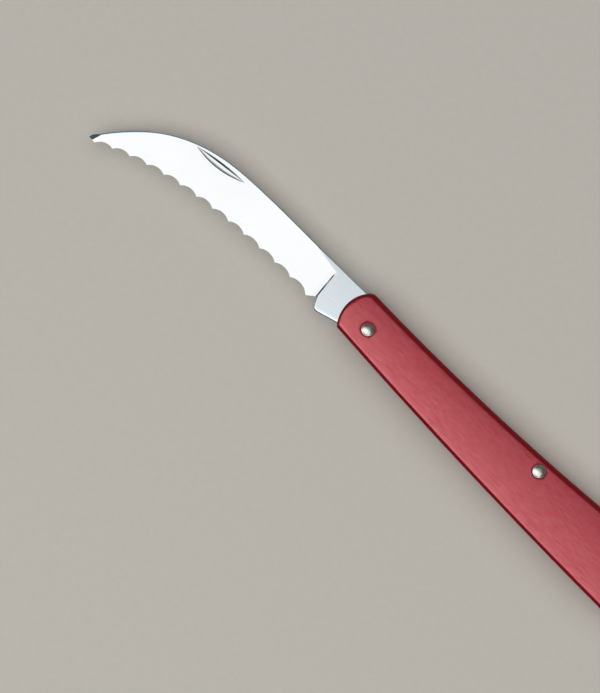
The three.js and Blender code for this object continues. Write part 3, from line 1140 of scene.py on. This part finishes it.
@dataclass(frozen=True)
class BackSpring(Piece):
    """The spring between the scales, with the tail that fills the butt."""

    slot: ClassVar[Slot] = Slot.SPRING
    outline: HandleOutline
    rivets: tuple[Rivet, ...]
    node: str = "backspring"
    name: str = "spring_back"
    half_thickness: float = 1.05
    inset: float = 0.1
    tip_x: float = -2.6
    seat: float = 3.46
    cam_end: float = 1.91
    kick: Pair = (10.64, 2.537)
    kick_half: float = 1.1
    rest_gap: float = 0.06
    rivet_x: float = 45.4
    rivet_under: float = -2.42
    tail_front: float = 71.05
    tail_depth: float = 4.13
    tail_fillet: float = 2.0
    knot_pull: float = 1 / 6
    chamfer: float = 0.12
    chamfer_steps: int = 2
    steps: int = 14
    crease: float = 32.0

    def under_line(self) -> list[Vector]:
        """The lower line of the spring.

        Returns:
            Its points from the tail to the tip.
        """
        tail = height_at(self.outline.back(0.0), self.tail_front) - self.tail_depth
        neck = self.kick[1] + self.rest_gap
        knots = [
            flat(self.tail_front - self.tail_fillet, tail),
            flat((self.rivet_x + self.tail_front) / 2, (self.rivet_under + tail) / 2),
            flat(self.rivet_x, self.rivet_under),
            flat(self.kick[0] + self.kick_half, neck),
            flat(self.kick[0] - self.kick_half, neck),
            flat(self.cam_end, self.seat),
        ]
        front = flat(self.tail_front, tail - self.tail_fillet)
        line = points_on(bezier(front, flat(self.tail_front, tail), knots[0]), self.steps)
        for i, (a, b) in enumerate(zip(knots, knots[1:])):
            before, after = knots[max(i - 1, 0)], knots[min(i + 2, len(knots) - 1)]
            leave, arrive = (b - before) * self.knot_pull, (after - a) * self.knot_pull
            line += points_on(bezier(a, a + leave, b - arrive, b), self.steps)
        return line + [knots[-1], flat(self.tip_x, self.seat)]

    def ring(self) -> list[Vector]:
        """The spring's whole outline.

        Returns:
            Its points in order.
        """
        back, belly = self.outline.back(self.inset), self.outline.belly(self.inset)
        ring = [flat(self.tail_front, height_at(belly, self.tail_front))]
        for half in self.outline.butt(self.inset):
            ring += points_on(half, self.steps)
        along_back = points_on(lambda t: back(1.0 - t), self.outline.long_steps)
        ring += [p for p in along_back if p.x > self.tip_x + self.inset]
        ring.append(flat(self.tip_x, height_at(back, self.tip_x)))
        return ring + self.under_line()[::-1]

    def build(self) -> Object:
        """Builds the spring with its rivet holes.

        Returns:
            The spring's object.
        """
        ring = self.ring()
        bm = bmesh.new()
        bmesh.ops.create_circle(bm, cap_ends=True, segments=len(ring), radius=1.0)
        bm.verts.ensure_lookup_table()
        for vert, p in zip(bm.verts, ring):
            vert.co = place(*p, -self.half_thickness)
        raised = bmesh.ops.extrude_face_region(bm, geom=bm.faces[:])["geom"]
        lifted = [item for item in raised if isinstance(item, BMVert)]
        bmesh.ops.translate(bm, verts=lifted, vec=(0.0, 0.0, 2 * self.half_thickness * MM))
        close_up(bm)
        rim = [edge for edge in bm.edges if abs(edge.verts[0].co.z - edge.verts[1].co.z) < WELD]
        bmesh.ops.bevel(
            bm,
            geom=rim,
            offset=self.chamfer * MM,
            offset_type="OFFSET",
            affect="EDGES",
            segments=self.chamfer_steps,
            profile=0.5,
            material=-1,
            clamp_overlap=True,
        )
        bmesh.ops.recalc_face_normals(bm, faces=bm.faces)
        piece = as_object(self.name, bm)
        reach = 3 * self.half_thickness
        drill(piece, [rivet.bore_cutter(rivet.bore_radius(), reach) for rivet in self.rivets])
        shade(piece, self.crease)
        return piece


# Blade


@dataclass(frozen=True)
class Station:
    """One cut across the blade.

    Attributes:
        edge: where the upper face ends at the edge.
        under: where the lower face ends at the edge, further in where a scallop is ground.
        spine: height of the spine.
    """

    edge: Vector
    under: Vector
    spine: float


@dataclass(frozen=True)
class Levels:
    """Heights at one cut of the lines that run along the blade.

    Attributes:
        edge: the end of the upper face.
        bottom: the lower end of the nail nick, or of the line that runs on from it.
        foot: the foot of the nick's wall.
        brink: the upper end of the nick.
        start: where the grind starts, under the band along the spine.
        top: where the spine's soft corner starts.
        spine: the spine.
        depth: how deep the nick is.
    """

    edge: float
    bottom: float
    foot: float
    brink: float
    start: float
    top: float
    spine: float
    depth: float


@dataclass
class Section:
    """The closed line round the blade at one cut, and how satin each of its points is."""

    x: float
    tang: bool
    points: list[Vector] = field(default_factory=list)
    satin: list[float] = field(default_factory=list)

    def add(self, spot: Vector, dull: float) -> None:
        """Adds a point; the tang is satin all over."""
        self.points.append(spot)
        self.satin.append(1.0 if self.tang else dull)

    def put(self, y: float, z: float, dull: float = 0.0) -> None:
        """Adds a point straight over the cut."""
        self.add(Vector((self.x, y, z)), dull)


@dataclass(frozen=True)
class Blade(Piece):
    """The blade: a hooked, scalloped, ground and polished length, a satin tang and its cam, in one piece."""

    body: ClassVar[Body] = Body.BLADE
    slot: ClassVar[Slot] = Slot.BLADE
    pivot: Rivet
    node: str = "blade"
    name: str = "blade_polished"
    thickness: float = 2.0
    tip: Pair = (-69.3995, -5.9)
    tip_lean: Pair = (5.2, 6.3)
    tip_nose: Pair = (0.2, 0.65)
    tip_bevel_limit: float = 0.6
    tip_steps: int = 18
    crown: Pair = (-41.2, 8.4)
    crown_front_pull: float = 15.3
    crown_rear_pull: float = 10.0
    spine_rear: Pair = (-2.65, 5.35)
    spine_rear_pull: Pair = (-10.0, 0.45)
    edge_tip: Pair = (-67.7, -6.05)
    edge_tip_pull: Pair = (16.0, 6.35)
    edge_heel: Pair = (-14.85, -2.36)
    edge_heel_pull: Pair = (-16.0, 1.5)
    edge_thickness: float = 0.5
    edge_dull: float = 0.3
    edge_samples: int = 2000
    edge_shares: tuple[float, ...] = (0.0, 0.025, 0.06, 0.11, 0.18, 0.27, 0.37, 0.48, 0.6, 0.73, 0.87)
    scallops: int = 13
    scallop_growth: float = 1.14
    scallop_depth: float = 0.82
    scallop_lean: float = 2.0
    scallop_steps: int = 18
    bevel_least: float = 0.02
    bevel_dull: float = 0.6
    bevel_steps: int = 4
    heel_nub: Pair = (-14.35, -2.8)
    heel_steps: int = 4
    choil: Pair = (-12.3, -1.5)
    choil_steps: int = 6
    plunge: float = -12.3
    plunge_run: float = 0.34
    plunge_ease: float = 0.2
    plunge_depth: float = 0.1
    plunge_least: float = 0.3
    plunge_dig: float = 0.05
    plunge_dig_run: float = 1.0
    plunge_dig_fade: float = 0.5
    plunge_band: float = 1.2
    plunge_steps: int = 8
    run_out: float = 7.5
    spine_thinning: float = 3.0
    swedge_length: float = 3.4
    swedge_width: float = 0.95
    swedge_drop: float = 0.42
    swedge_reach: float = 1.0
    swedge_step: float = 0.002
    swedge_ease: float = 0.33
    swedge_ease_run: float = 0.06
    nick_ends: tuple[Pair, Pair] = ((-50.9, 6.69), (-38.5, 7.12))
    nick_above: float = 0.45
    nick_below: float = 1.1
    nick_depth: float = 0.27
    nick_wall: float = 0.46
    nick_floor_curve: float = 9.0
    nick_end_curve: float = 3.0
    nick_run_out: float = 0.85
    nick_lip: float = 0.88
    nick_dull: float = 1.4
    nick_dull_from: float = 0.25
    nick_dull_run: float = 0.3
    floor_shares: tuple[float, ...] = (1.0, 0.97, 0.93, 0.88, 0.82, 0.74, 0.62, 0.46, 0.24, 0.0)
    wall_shares: Pair = (0.5, 1.0)
    guide_share: float = 0.6
    guide_run: float = 12.0
    kick_front: Pair = (-11.6, -3.4)
    kick: Pair = (-11.3, -4.15)
    kick_rear: Pair = (-10.2, -3.95)
    kick_steps: int = 8
    relief: Pair = (-4.0, -2.75)
    relief_steps: int = 6
    closed_front: Pair = (-1.92, -3.69)
    closed_end: Pair = (2.35, -3.113)
    cam_flat: float = 3.4
    cam_radius: float = 3.9
    cam_turn: int = 5
    cam_margin: float = 0.02
    shoulder_step: float = 0.05
    tang_taper: float = 0.0135
    tang_break: Pair = (0.45, 0.16)
    tang_back: tuple[float, ...] = (-10.0, -8.0, -6.0, -4.0)
    tang_step: float = 0.55
    tang_digits: int = 4
    corner: float = 0.2
    corner_run: float = 7.0
    corner_limit: float = 0.3
    corner_shape: tuple[Pair, ...] = ((0.0, 0.0), (0.1, 0.034), (0.5, 0.32), (0.9, 0.64), (1.0, 0.73))
    tip_corner: float = 0.32
    tip_corner_from: float = -57.0
    tang_corner: float = 0.11
    tang_corner_from: float = -19.0
    bend_limit: float = 0.7
    bend_share: float = 0.35
    slope_step: float = 0.2
    slope_limit: float = 1.6
    band_least: float = 0.3
    band_fade: float = 0.4
    band_shelf: float = 0.4
    band_edge_dull: float = 0.5
    band_steps: int = 3
    guard: float = 0.04
    bore_clearance: float = 0.05
    crease: float = 21.0

    @cached_property
    def spine_front(self) -> Curve:
        """The spine from the nose of the tip to the crown."""
        tip, crown, ahead = flat(*self.tip), flat(*self.crown), flat(self.crown_front_pull, 0.0)
        return bezier(tip + flat(*self.tip_nose), tip + flat(*self.tip_lean), crown - ahead, crown)

    @cached_property
    def spine_back(self) -> Curve:
        """The spine from the crown to the tang."""
        crown, rear, behind = flat(*self.crown), flat(*self.spine_rear), flat(self.crown_rear_pull, 0.0)
        return bezier(crown, crown + behind, rear + flat(*self.spine_rear_pull), rear)

    @cached_property
    def edge_line(self) -> Curve:
        """The line of the points between the scallops, from the tip to the heel."""
        tip, heel = flat(*self.edge_tip), flat(*self.edge_heel)
        return bezier(tip, tip + flat(*self.edge_tip_pull), heel + flat(*self.edge_heel_pull), heel)

    @cached_property
    def swedge(self) -> tuple[Vector, Vector]:
        """The plane of the swedge at the tip.

        Returns:
            A point of the plane and its upward normal.
        """
        tip, t = flat(*self.tip), 0.0
        while (self.spine_front(t) - tip).length < self.swedge_length:
            t += self.swedge_step
        on_spine = self.spine_front(t)
        on_edge = tip + (flat(*self.edge_tip) - tip).normalized() * self.swedge_width
        start = Vector((*on_spine, self.half(*on_spine)))
        along = Vector((*on_edge, self.half(*on_edge))) - start
        fall = Vector((*tip, self.half(*tip) - self.swedge_drop)) - start
        normal = along.cross(fall).normalized()
        return start, normal if normal.z > 0 else -normal

    def spine(self, x: float) -> float:
        """Height of the spine."""
        return height_at(self.spine_front if x < self.crown[0] else self.spine_back, x)

    def grind(self, x: float) -> tuple[float, float, float]:
        """The ground face at x.

        Args:
            x: place along the blade.

        Returns:
            Height where the grind starts, height of the edge, and slope of the face between them.
        """
        run = self.plunge - x
        band = max(self.plunge_band * (1 - run / self.run_out), -self.spine_thinning)
        start, edge = self.spine(x) - band, height_at(self.edge_line, x)
        return start, edge, (self.thickness - self.edge_thickness) / 2 / (start - edge)

    def half(self, x: float, y: float) -> float:
        """Half of the blade's thickness, without the nick and the swedge.

        Args:
            x: place along the blade.
            y: height.

        Returns:
            The distance from the middle to either face.
        """
        full = self.thickness / 2 - self.tang_taper * max(self.spine(x) - y, 0.0)
        if x >= self.plunge:
            return full
        start, edge, slope = self.grind(x)
        behind = self.plunge - x - self.plunge_run
        dig = self.plunge_dig * (1 - smooth_step(behind / self.plunge_dig_run))
        ground = self.edge_thickness / 2 + slope * (y - edge)
        ground -= dig * smooth_step((start - y) / self.plunge_dig_fade)
        steepness = min(max((full - ground) / self.plunge_depth, self.plunge_least), 1.0)
        share = eased((self.plunge - x) / (self.plunge_run * steepness), self.plunge_ease)
        return min(between(full, ground, share), full)

    def face(self, x: float, y: float) -> float:
        """Height of the upper face, with the swedge and without the nick.

        Args:
            x: place along the blade.
            y: height.

        Returns:
            The distance from the middle to the face.
        """
        z = self.half(x, y)
        start, normal = self.swedge
        if x >= start.x + self.swedge_reach:
            return z
        return min(z, start.z - ((x - start.x) * normal.x + (y - start.y) * normal.y) / normal.z)

    def spine_corner(self, x: float) -> float:
        """Width of the spine's soft corner, which grows towards the tip and shrinks towards the tang.

        Args:
            x: place along the blade.

        Returns:
            The width.
        """
        to_tip = smooth_step((self.tip_corner_from - x) / self.corner_run)
        to_tang = smooth_step((x - self.tang_corner_from) / self.corner_run)
        wider, narrower = self.tip_corner - self.corner, self.tang_corner - self.corner
        return self.corner + wider * to_tip + narrower * to_tang

    def spine_lean(self, x: float) -> float:
        """How much longer the spine's corner gets along y because the spine slopes."""
        rise = self.spine(x + self.slope_step) - self.spine(x - self.slope_step)
        return min(math.hypot(1.0, rise / (2 * self.slope_step)), self.slope_limit)

    def edge_break(self, x: float, rise: float) -> float:
        """How much the softened edge of the tang takes off its face, a little above the lower outline."""
        fade = smooth_step((x - self.plunge) / (self.kick_front[0] - self.plunge))
        return self.tang_break[1] * fade * max(1 - rise / self.tang_break[0], 0.0) ** 2

    def nick(self, x: float) -> tuple[float, float, float, float]:
        """The nail nick at x.

        Args:
            x: place along the blade.

        Returns:
            Its lower edge, the foot of its wall, its upper edge, and its depth there.
        """
        (x0, y0), (x1, y1) = self.nick_ends
        share = (x - x0) / (x1 - x0)
        open_share = max(1 - (2 * share - 1) ** 2, 0.0)
        line = between(y0, y1, share)
        top = line + self.nick_above * open_share
        bottom, foot = line - self.nick_below * open_share, top - self.nick_wall * open_share
        return bottom, foot, top, self.nick_depth * open_share**self.nick_run_out

    def in_nick(self, x: float) -> bool:
        """Whether a cut at x meets the nail nick."""
        return self.nick_ends[0][0] < x < self.nick_ends[1][0]

    def guide(self, x: float, low: float, high: float) -> float:
        """Height of the row that runs on from the ends of the nick, outside of it.

        Args:
            x: place along the blade.
            low: height of the edge.
            high: height of the spine's corner.

        Returns:
            The row's height.
        """
        front, rear = self.nick_ends
        end_x, end_y = front if x <= front[0] else rear
        edge = height_at(self.edge_line, end_x)
        share = (end_y - edge) / (self.spine(end_x) - edge)
        share = between(share, self.guide_share, smooth_step(abs(x - end_x) / self.guide_run))
        return between(low, high, share)

    def cusps(self) -> list[Vector]:
        """Points between the scallops, a little further apart towards the heel.

        Returns:
            The points, from the tip to the heel.
        """
        line = points_on(self.edge_line, self.edge_samples) + [self.edge_line(1.0)]
        lengths = [0.0]
        for a, b in zip(line, line[1:]):
            lengths.append(lengths[-1] + (b - a).length)
        pitches = [between(1, self.scallop_growth, i / (self.scallops - 1)) for i in range(self.scallops)]
        found, run = [line[0]], 0.0
        for pitch in pitches:
            run += pitch / sum(pitches) * lengths[-1]
            found.append(next((p for p, d in zip(line, lengths) if d >= run - WELD), line[-1]))
        return found

    def scallop_stations(self) -> list[Station]:
        """Cuts through the scallops.

        Returns:
            The cuts, from the tip's land to the heel.
        """
        found: list[Station] = []
        cusps = self.cusps()
        for start, end in zip(cusps, cusps[1:]):
            along = (end - start).normalized()
            inward = flat(-along.y, along.x)
            chord = (end - start).length
            radius = ((chord / 2) ** 2 + self.scallop_depth**2) / (2 * self.scallop_depth)
            for t in shares(self.scallop_steps):
                run = chord * t
                arc = math.sqrt(radius**2 - (run - chord / 2) ** 2) - radius + self.scallop_depth
                base = start + along * run
                _, _, slope = self.grind(base.x)
                edge = base + inward * (arc / (1 + self.scallop_lean * slope))
                bevel = arc + self.scallop_lean * self.edge_thickness
                under = base + inward * (bevel / (1 - self.scallop_lean * slope))
                found.append(Station(edge, under, self.spine(edge.x)))
        return found

    def tip_stations(self, first: Station) -> list[Station]:
        """Cuts from the tip to the first scallop.

        Args:
            first: the first cut of the scallops.

        Returns:
            The cuts.
        """
        tip, land = flat(*self.tip), flat(*self.edge_tip)
        found = []
        for t in shares(self.tip_steps):
            edge = tip.lerp(land, t)
            under = edge + (first.under - first.edge) * smooth_step(t)
            nose = tip.y + (edge.x - tip.x) / self.tip_nose[0] * self.tip_nose[1]
            spine = max(min(self.spine(edge.x), nose), edge.y)
            under.y = min(under.y, between(edge.y, spine, self.tip_bevel_limit))
            found.append(Station(edge, under, spine))
        return found

    def heel_stations(self, last: Station) -> list[Station]:
        """Cuts from the last scallop through the heel to the plunge.

        Args:
            last: the last cut of the scallops.

        Returns:
            The cuts.
        """
        heel, nub, choil = flat(*self.edge_heel), flat(*self.heel_nub), flat(*self.choil)
        found = []
        for share in shares(self.heel_steps):
            edge = heel.lerp(nub, share)
            bevel = (last.under - last.edge) * (1 - smooth_step(share))
            found.append(Station(edge, edge + bevel, self.spine(edge.x)))
        face = self.plunge - self.plunge_run
        xs = [between(nub.x, face, share) for share in shares(self.choil_steps)]
        xs += [between(face, self.plunge, share) for share in shares(self.plunge_steps)]
        for x in xs:
            edge = nub.lerp(choil, (x - nub.x) / (choil.x - nub.x))
            found.append(Station(edge, edge.copy(), self.spine(x)))
        return found

    def cam_round(self, first: float, side: int) -> list[Vector]:
        """The end of the cam's round.

        Args:
            first: the angle that it starts below.
            side: 1 on the back's side, -1 on the belly's.

        Returns:
            Its points, along +x.
        """
        turns = [math.radians(a) for a in range(QUARTER_TURN, -1, -self.cam_turn)]
        turns = [a for a in turns if a < first - self.cam_margin]
        return [flat(math.cos(a), side * math.sin(a)) * self.cam_radius for a in turns]

    def tang_lines(self) -> tuple[list[Vector], list[Vector]]:
        """The outline of the tang.

        Returns:
            Its lower and its upper line, along +x.
        """
        kick_rear, relief, rear = flat(*self.kick_rear), flat(*self.relief), flat(*self.spine_rear)
        front, end = flat(*self.closed_front), flat(*self.closed_end)
        kick = bezier(flat(*self.kick_front), flat(*self.kick), kick_rear)
        rise = bezier(relief, flat((front.x + relief.x) / 2, relief.y), front)
        lower = [flat(*self.choil)] + points_on(kick, self.kick_steps) + [kick_rear]
        lower += points_on(rise, self.relief_steps) + [front, end]
        lower += self.cam_round(math.acos(end.x / self.cam_radius), -1)
        open_end = math.asin(self.cam_flat / self.cam_radius)
        upper = [flat(x, self.spine(x)) for x in (self.plunge, *self.tang_back)] + [rear]
        upper += [flat(rear.x + self.shoulder_step, self.cam_flat)]
        upper += [flat(math.cos(open_end) * self.cam_radius, self.cam_flat)]
        return lower, upper + self.cam_round(open_end, 1)

    def tang_stations(self) -> list[Station]:
        """Cuts from the plunge to the end of the cam.

        Returns:
            The cuts.
        """
        lower, upper = self.tang_lines()
        xs = {round(p.x, self.tang_digits) for p in lower + upper}
        for share in shares(int((self.cam_radius - self.plunge) / self.tang_step)):
            x = between(self.plunge, self.cam_radius, share)
            if min(abs(x - other) for other in xs) > self.tang_step / 3:
                xs.add(round(x, self.tang_digits))
        found = []
        for x in sorted(xs):
            edge = flat(x, height_on_line(lower, x))
            found.append(Station(edge, edge.copy(), height_on_line(upper, x)))
        return found

    def levels(self, cut: Station) -> Levels:
        """Measures one cut.

        Args:
            cut: the cut.

        Returns:
            The heights of its lines.
        """
        x, low, high = cut.edge.x, cut.edge.y, cut.spine
        top = high - min(self.spine_corner(x) * self.spine_lean(x), self.corner_limit * (high - low))
        if self.in_nick(x):
            bottom, foot, brink, depth = self.nick(x)
        else:
            bottom = foot = brink = self.guide(x, low, top)
            depth = 0.0
        start = high - self.plunge_band if x >= self.plunge else self.grind(x)[0]
        start = min(max(start, between(brink, top, self.band_least)), top - 2 * self.guard)
        return Levels(low, bottom, foot, brink, start, top, high, depth)

    def draw_upper(self, section: Section, levels: Levels) -> None:
        """Draws the upper face, from the edge over the nail nick to the start of the grind.

        Args:
            section: the line to go on with.
            levels: the heights at this cut.
        """
        x = section.x
        for share in self.edge_shares:
            y = between(levels.edge, levels.bottom, share)
            section.put(y, self.face(x, y) - self.edge_break(x, y - levels.edge))
        section.put(levels.bottom - self.guard, self.face(x, levels.bottom - self.guard))
        curve = between(self.nick_end_curve, self.nick_floor_curve, levels.depth / self.nick_depth)
        for share in self.floor_shares:
            y = between(levels.foot, levels.bottom, share)
            pressed = self.nick_dull * smooth_step((share - self.nick_dull_from) / self.nick_dull_run)
            on_floor = share < self.nick_lip and levels.depth > 0.0
            section.put(y, self.face(x, y) - levels.depth * (1 - share**curve), pressed if on_floor else 0.0)
        for share in self.wall_shares:
            y = between(levels.foot, levels.brink, share)
            section.put(y, self.face(x, y) - levels.depth * (1 - share))
        for share in shares_to_end(self.band_steps):
            y = between(levels.brink, levels.start - 2 * self.guard, share)
            section.put(y, self.face(x, y))

    def draw_spine(self, section: Section, levels: Levels) -> None:
        """Draws the band along the spine, the spine with its soft corners, and the band below.

        Args:
            section: the line to go on with.
            levels: the heights at this cut.
        """
        x, top = section.x, levels.top
        band = smooth_step((top - 2 * self.guard - levels.start) / self.band_fade)
        edge_dull = self.band_edge_dull * band
        shelf = (between(levels.start, top, self.band_shelf), top - self.guard)
        section.put(levels.start, self.face(x, levels.start), edge_dull)
        for y in shelf:
            section.put(y, self.face(x, y), band)
        shoulder, base, round_off = self.face(x, top), self.half(x, top), levels.spine - top
        room = self.bend_share * max(shoulder + base, 0.0)
        bend = min(self.spine_corner(x), round_off, self.bend_limit * base, room)
        upper_bend = bend * (1 - self.swedge_ease * smooth_step((base - shoulder) / self.swedge_ease_run))
        for out, fall in self.corner_shape:
            section.put(top + round_off * out, shoulder - upper_bend * fall, edge_dull)
        for out, fall in self.corner_shape[::-1]:
            section.put(top + round_off * out, bend * fall - base, edge_dull)
        for y in shelf[::-1]:
            section.put(y, -self.half(x, y), band)

    def draw_lower(self, section: Section, levels: Levels, cut: Station) -> None:
        """Draws the lower face down to its end, and the bevel of the scallops back to the edge.

        Args:
            section: the line to go on with.
            levels: the heights at this cut.
            cut: the cut.
        """
        for share in self.edge_shares[::-1]:
            y = between(cut.under.y, levels.start, share)
            x = between(cut.under.x, section.x, share)
            section.add(Vector((x, y, self.edge_break(x, y - cut.under.y) - self.half(x, y))), 0.0)
        foot, edge = section.points[-1], section.points[0]
        bevelled = (cut.under - cut.edge).length > self.bevel_least
        dull = self.bevel_dull if bevelled else self.edge_dull
        for share in shares(self.bevel_steps)[1:]:
            section.add(foot.lerp(edge, share), dull)

    def section(self, cut: Station) -> Section:
        """The closed line round the blade at one cut.

        Args:
            cut: the cut.

        Returns:
            The line, from the edge over the upper face to the spine and back below.
        """
        levels = self.levels(cut)
        section = Section(cut.edge.x, cut.edge.x >= self.plunge)
        self.draw_upper(section, levels)
        self.draw_spine(section, levels)
        self.draw_lower(section, levels, cut)
        return section

    def build(self) -> Object:
        """Builds the blade with its pivot hole.

        Returns:
            The blade's object.
        """
        scallops = self.scallop_stations()
        cuts = self.tip_stations(scallops[0]) + scallops
        cuts += self.heel_stations(scallops[-1]) + self.tang_stations()
        bm = bmesh.new()
        satin = bm.verts.layers.float.new("satin")
        rows: Rows = []
        dull: list[float] = []
        for cut in cuts:
            section = self.section(cut)
            rows.append([place(*p) for p in section.points + section.points[:1]])
            dull += section.satin + section.satin[:1]
        for vert, share in zip(lay_grid(bm, rows), dull):
            vert[satin] = share
        close_up(bm)
        piece = as_object(self.name, bm)
        drill(piece, [self.pivot.bore_cutter(self.pivot.shank / 2 + self.bore_clearance, 2 * self.thickness)])
        shade(piece, self.crease)
        return piece


# Studio


@dataclass(frozen=True)
class Studio:
    """A pale floor, one large soft light from the belly's side, a dim soft room and the camera."""

    view_centre: tuple[float, float, float] = (-8.53, -11.57, 2.0)
    turn: float = 39.4
    tilt: float = 4.5
    distance: float = 0.6
    pixels_per_mm: float = 4.88
    sensor: float = 36.0
    clip: Pair = (0.01, 20.0)
    floor_size: float = 3.0
    floor_cells: int = 8
    light_lean: float = 20.5
    light_distance: float = 0.7
    light_size: Pair = (1.1, 0.668)
    light_power: float = 1.81
    fade_up: Pair = (0.705, 0.915)
    fade_up_level: float = 0.2
    rise_down: Pair = (0.3, 0.62)
    rise_down_level: float = 1.5
    fade_aside: Pair = (0.47, 0.72)
    fade_aside_level: float = 0.7
    fill_size: float = 2.4
    fill_height: float = 1.6
    fill_slope: float = 1 / 3
    fill_power: float = 13.4
    room_light: tuple[tuple[float, Colour], ...] = (
        (0.2, (0.17, 0.27, 0.35, 1.0)),
        (0.37, (0.043, 0.058, 0.072, 1.0)),
        (0.6, (0.07, 0.083, 0.088, 1.0)),
        (0.87, (0.08, 0.079, 0.075, 1.0)),
        (1.0, (0.3, 0.305, 0.31, 1.0)),
    )

    def floor(self) -> None:
        """Lays the floor under the knife."""
        bm = bmesh.new()
        cells = self.floor_cells
        bmesh.ops.create_grid(bm, x_segments=cells, y_segments=cells, size=self.floor_size / 2)
        laid = as_object("floor", bm)
        laid.data.materials.append(PaleFloor().make())

    def room(self) -> None:
        """Gives the room its light: cool low down, dim half way up, and bright overhead."""
        world = bpy.data.worlds.new("room")
        bpy.context.scene.world = world
        world.use_nodes = True
        sheet = NodeSheet(world.node_tree)
        way = sheet.add("ShaderNodeTexCoord").outputs["Generated"]
        height = sheet.add("ShaderNodeSeparateXYZ", {0: way}).outputs["Z"]
        ramp = sheet.add("ShaderNodeValToRGB", {"Fac": height})
        low, high = ramp.color_ramp.elements
        low.position, low.color = self.room_light[0]
        high.position, high.color = self.room_light[-1]
        for spot, colour in self.room_light[1:-1]:
            ramp.color_ramp.elements.new(spot).color = colour
        air = sheet.add("ShaderNodeBackground", {"Color": ramp.outputs[0], "Strength": 1.0})
        sheet.add("ShaderNodeOutputWorld", {"Surface": air.outputs[0]})

    def light(self) -> None:
        """Hangs the soft light over the belly's side, dimmer at its far end and at one side."""
        lamp = bpy.data.lights.new("softbox", "AREA")
        lamp.shape = "RECTANGLE"
        lamp.size, lamp.size_y = self.light_size
        lamp.energy = self.light_power
        lamp.use_nodes = True
        sheet = NodeSheet(lamp.node_tree)
        spot = sheet.add("ShaderNodeNewGeometry").outputs["Parametric"]
        split = sheet.add("ShaderNodeSeparateXYZ", {0: spot}).outputs
        up = sheet.remap(split["Y"], self.fade_up, (1.0, self.fade_up_level))
        aside = sheet.remap(split["X"], self.fade_aside, (1.0, self.fade_aside_level))
        down = sheet.remap(split["Y"], self.rise_down, (self.rise_down_level, 1.0))
        glow = sheet.add("ShaderNodeEmission", {"Strength": sheet.times(sheet.times(up, aside), down)})
        sheet.add("ShaderNodeOutputLight", {"Surface": glow.outputs[0]})
        hung = in_scene("softbox", lamp)
        lean = math.radians(self.light_lean)
        hung.location = Vector((0.0, -math.sin(lean), math.cos(lean))) * self.light_distance
        hung.rotation_euler = (lean, 0.0, 0.0)

    def fill(self) -> None:
        """Hangs a wide fill light overhead that the polished metal does not mirror."""
        lamp = bpy.data.lights.new("fill", "AREA")
        lamp.shape = "SQUARE"
        lamp.size = self.fill_size
        lamp.energy = self.fill_power
        hung = in_scene("fill", lamp)
        hung.location = (0.0, self.fill_height * self.fill_slope, self.fill_height)
        hung.rotation_euler = (-math.atan(self.fill_slope), 0.0, 0.0)
        hung.visible_glossy = False

    def camera(self) -> None:
        """Puts the camera where the photograph was taken from."""
        lens = bpy.data.cameras.new("camera")
        lens.sensor_fit = "HORIZONTAL"
        lens.sensor_width = self.sensor
        lens.lens = self.pixels_per_mm * self.sensor / PHOTO_WIDTH * self.distance / MM
        lens.clip_start, lens.clip_end = self.clip
        seen = in_scene("camera", lens)
        turn = Matrix.Rotation(math.radians(self.turn), 4, "Z")
        tilt = Matrix.Rotation(-math.radians(self.tilt), 4, "X")
        back_off = Matrix.Translation((0.0, 0.0, self.distance))
        seen.matrix_world = Matrix.Translation(place(*self.view_centre)) @ tilt @ turn @ back_off
        bpy.context.scene.camera = seen

    def build(self) -> None:
        """Sets up the whole scene round the knife."""
        self.floor()
        self.room()
        self.light()
        self.fill()
        self.camera()
        bpy.context.scene.view_settings.view_transform = "Standard"
        log.info("the studio is set up")


def main() -> None:
    """Builds the knife piece by piece, then the studio."""
    logging.basicConfig(level=logging.INFO, format="%(name)s: %(message)s")
    outline = HandleOutline()
    pivot = Rivet(node="pivot_rivet", name="rivet_pivot", shank=2.2)
    middle = Rivet(node="spring_rivet", name="rivet_spring", shank=2.1)
    end = Rivet(node="end_rivet", name="rivet_end", shank=2.1)
    rivets = (pivot, middle, end)
    red, silver = RedAnodised().make(), NickelSilver().make()
    Scale(Side.UPPER, "top_scale", "scale_upper", outline, rivets).dress(red)
    Scale(Side.LOWER, "bottom_scale", "scale_lower", outline, rivets).dress(red)
    BackSpring(outline, (middle, end)).dress(GroundSteel().make())
    for rivet in rivets:
        rivet.dress(silver)
    Blade(pivot).dress(PolishedSteel().make())
    Studio().build()


if __name__ == "__main__":
    main()
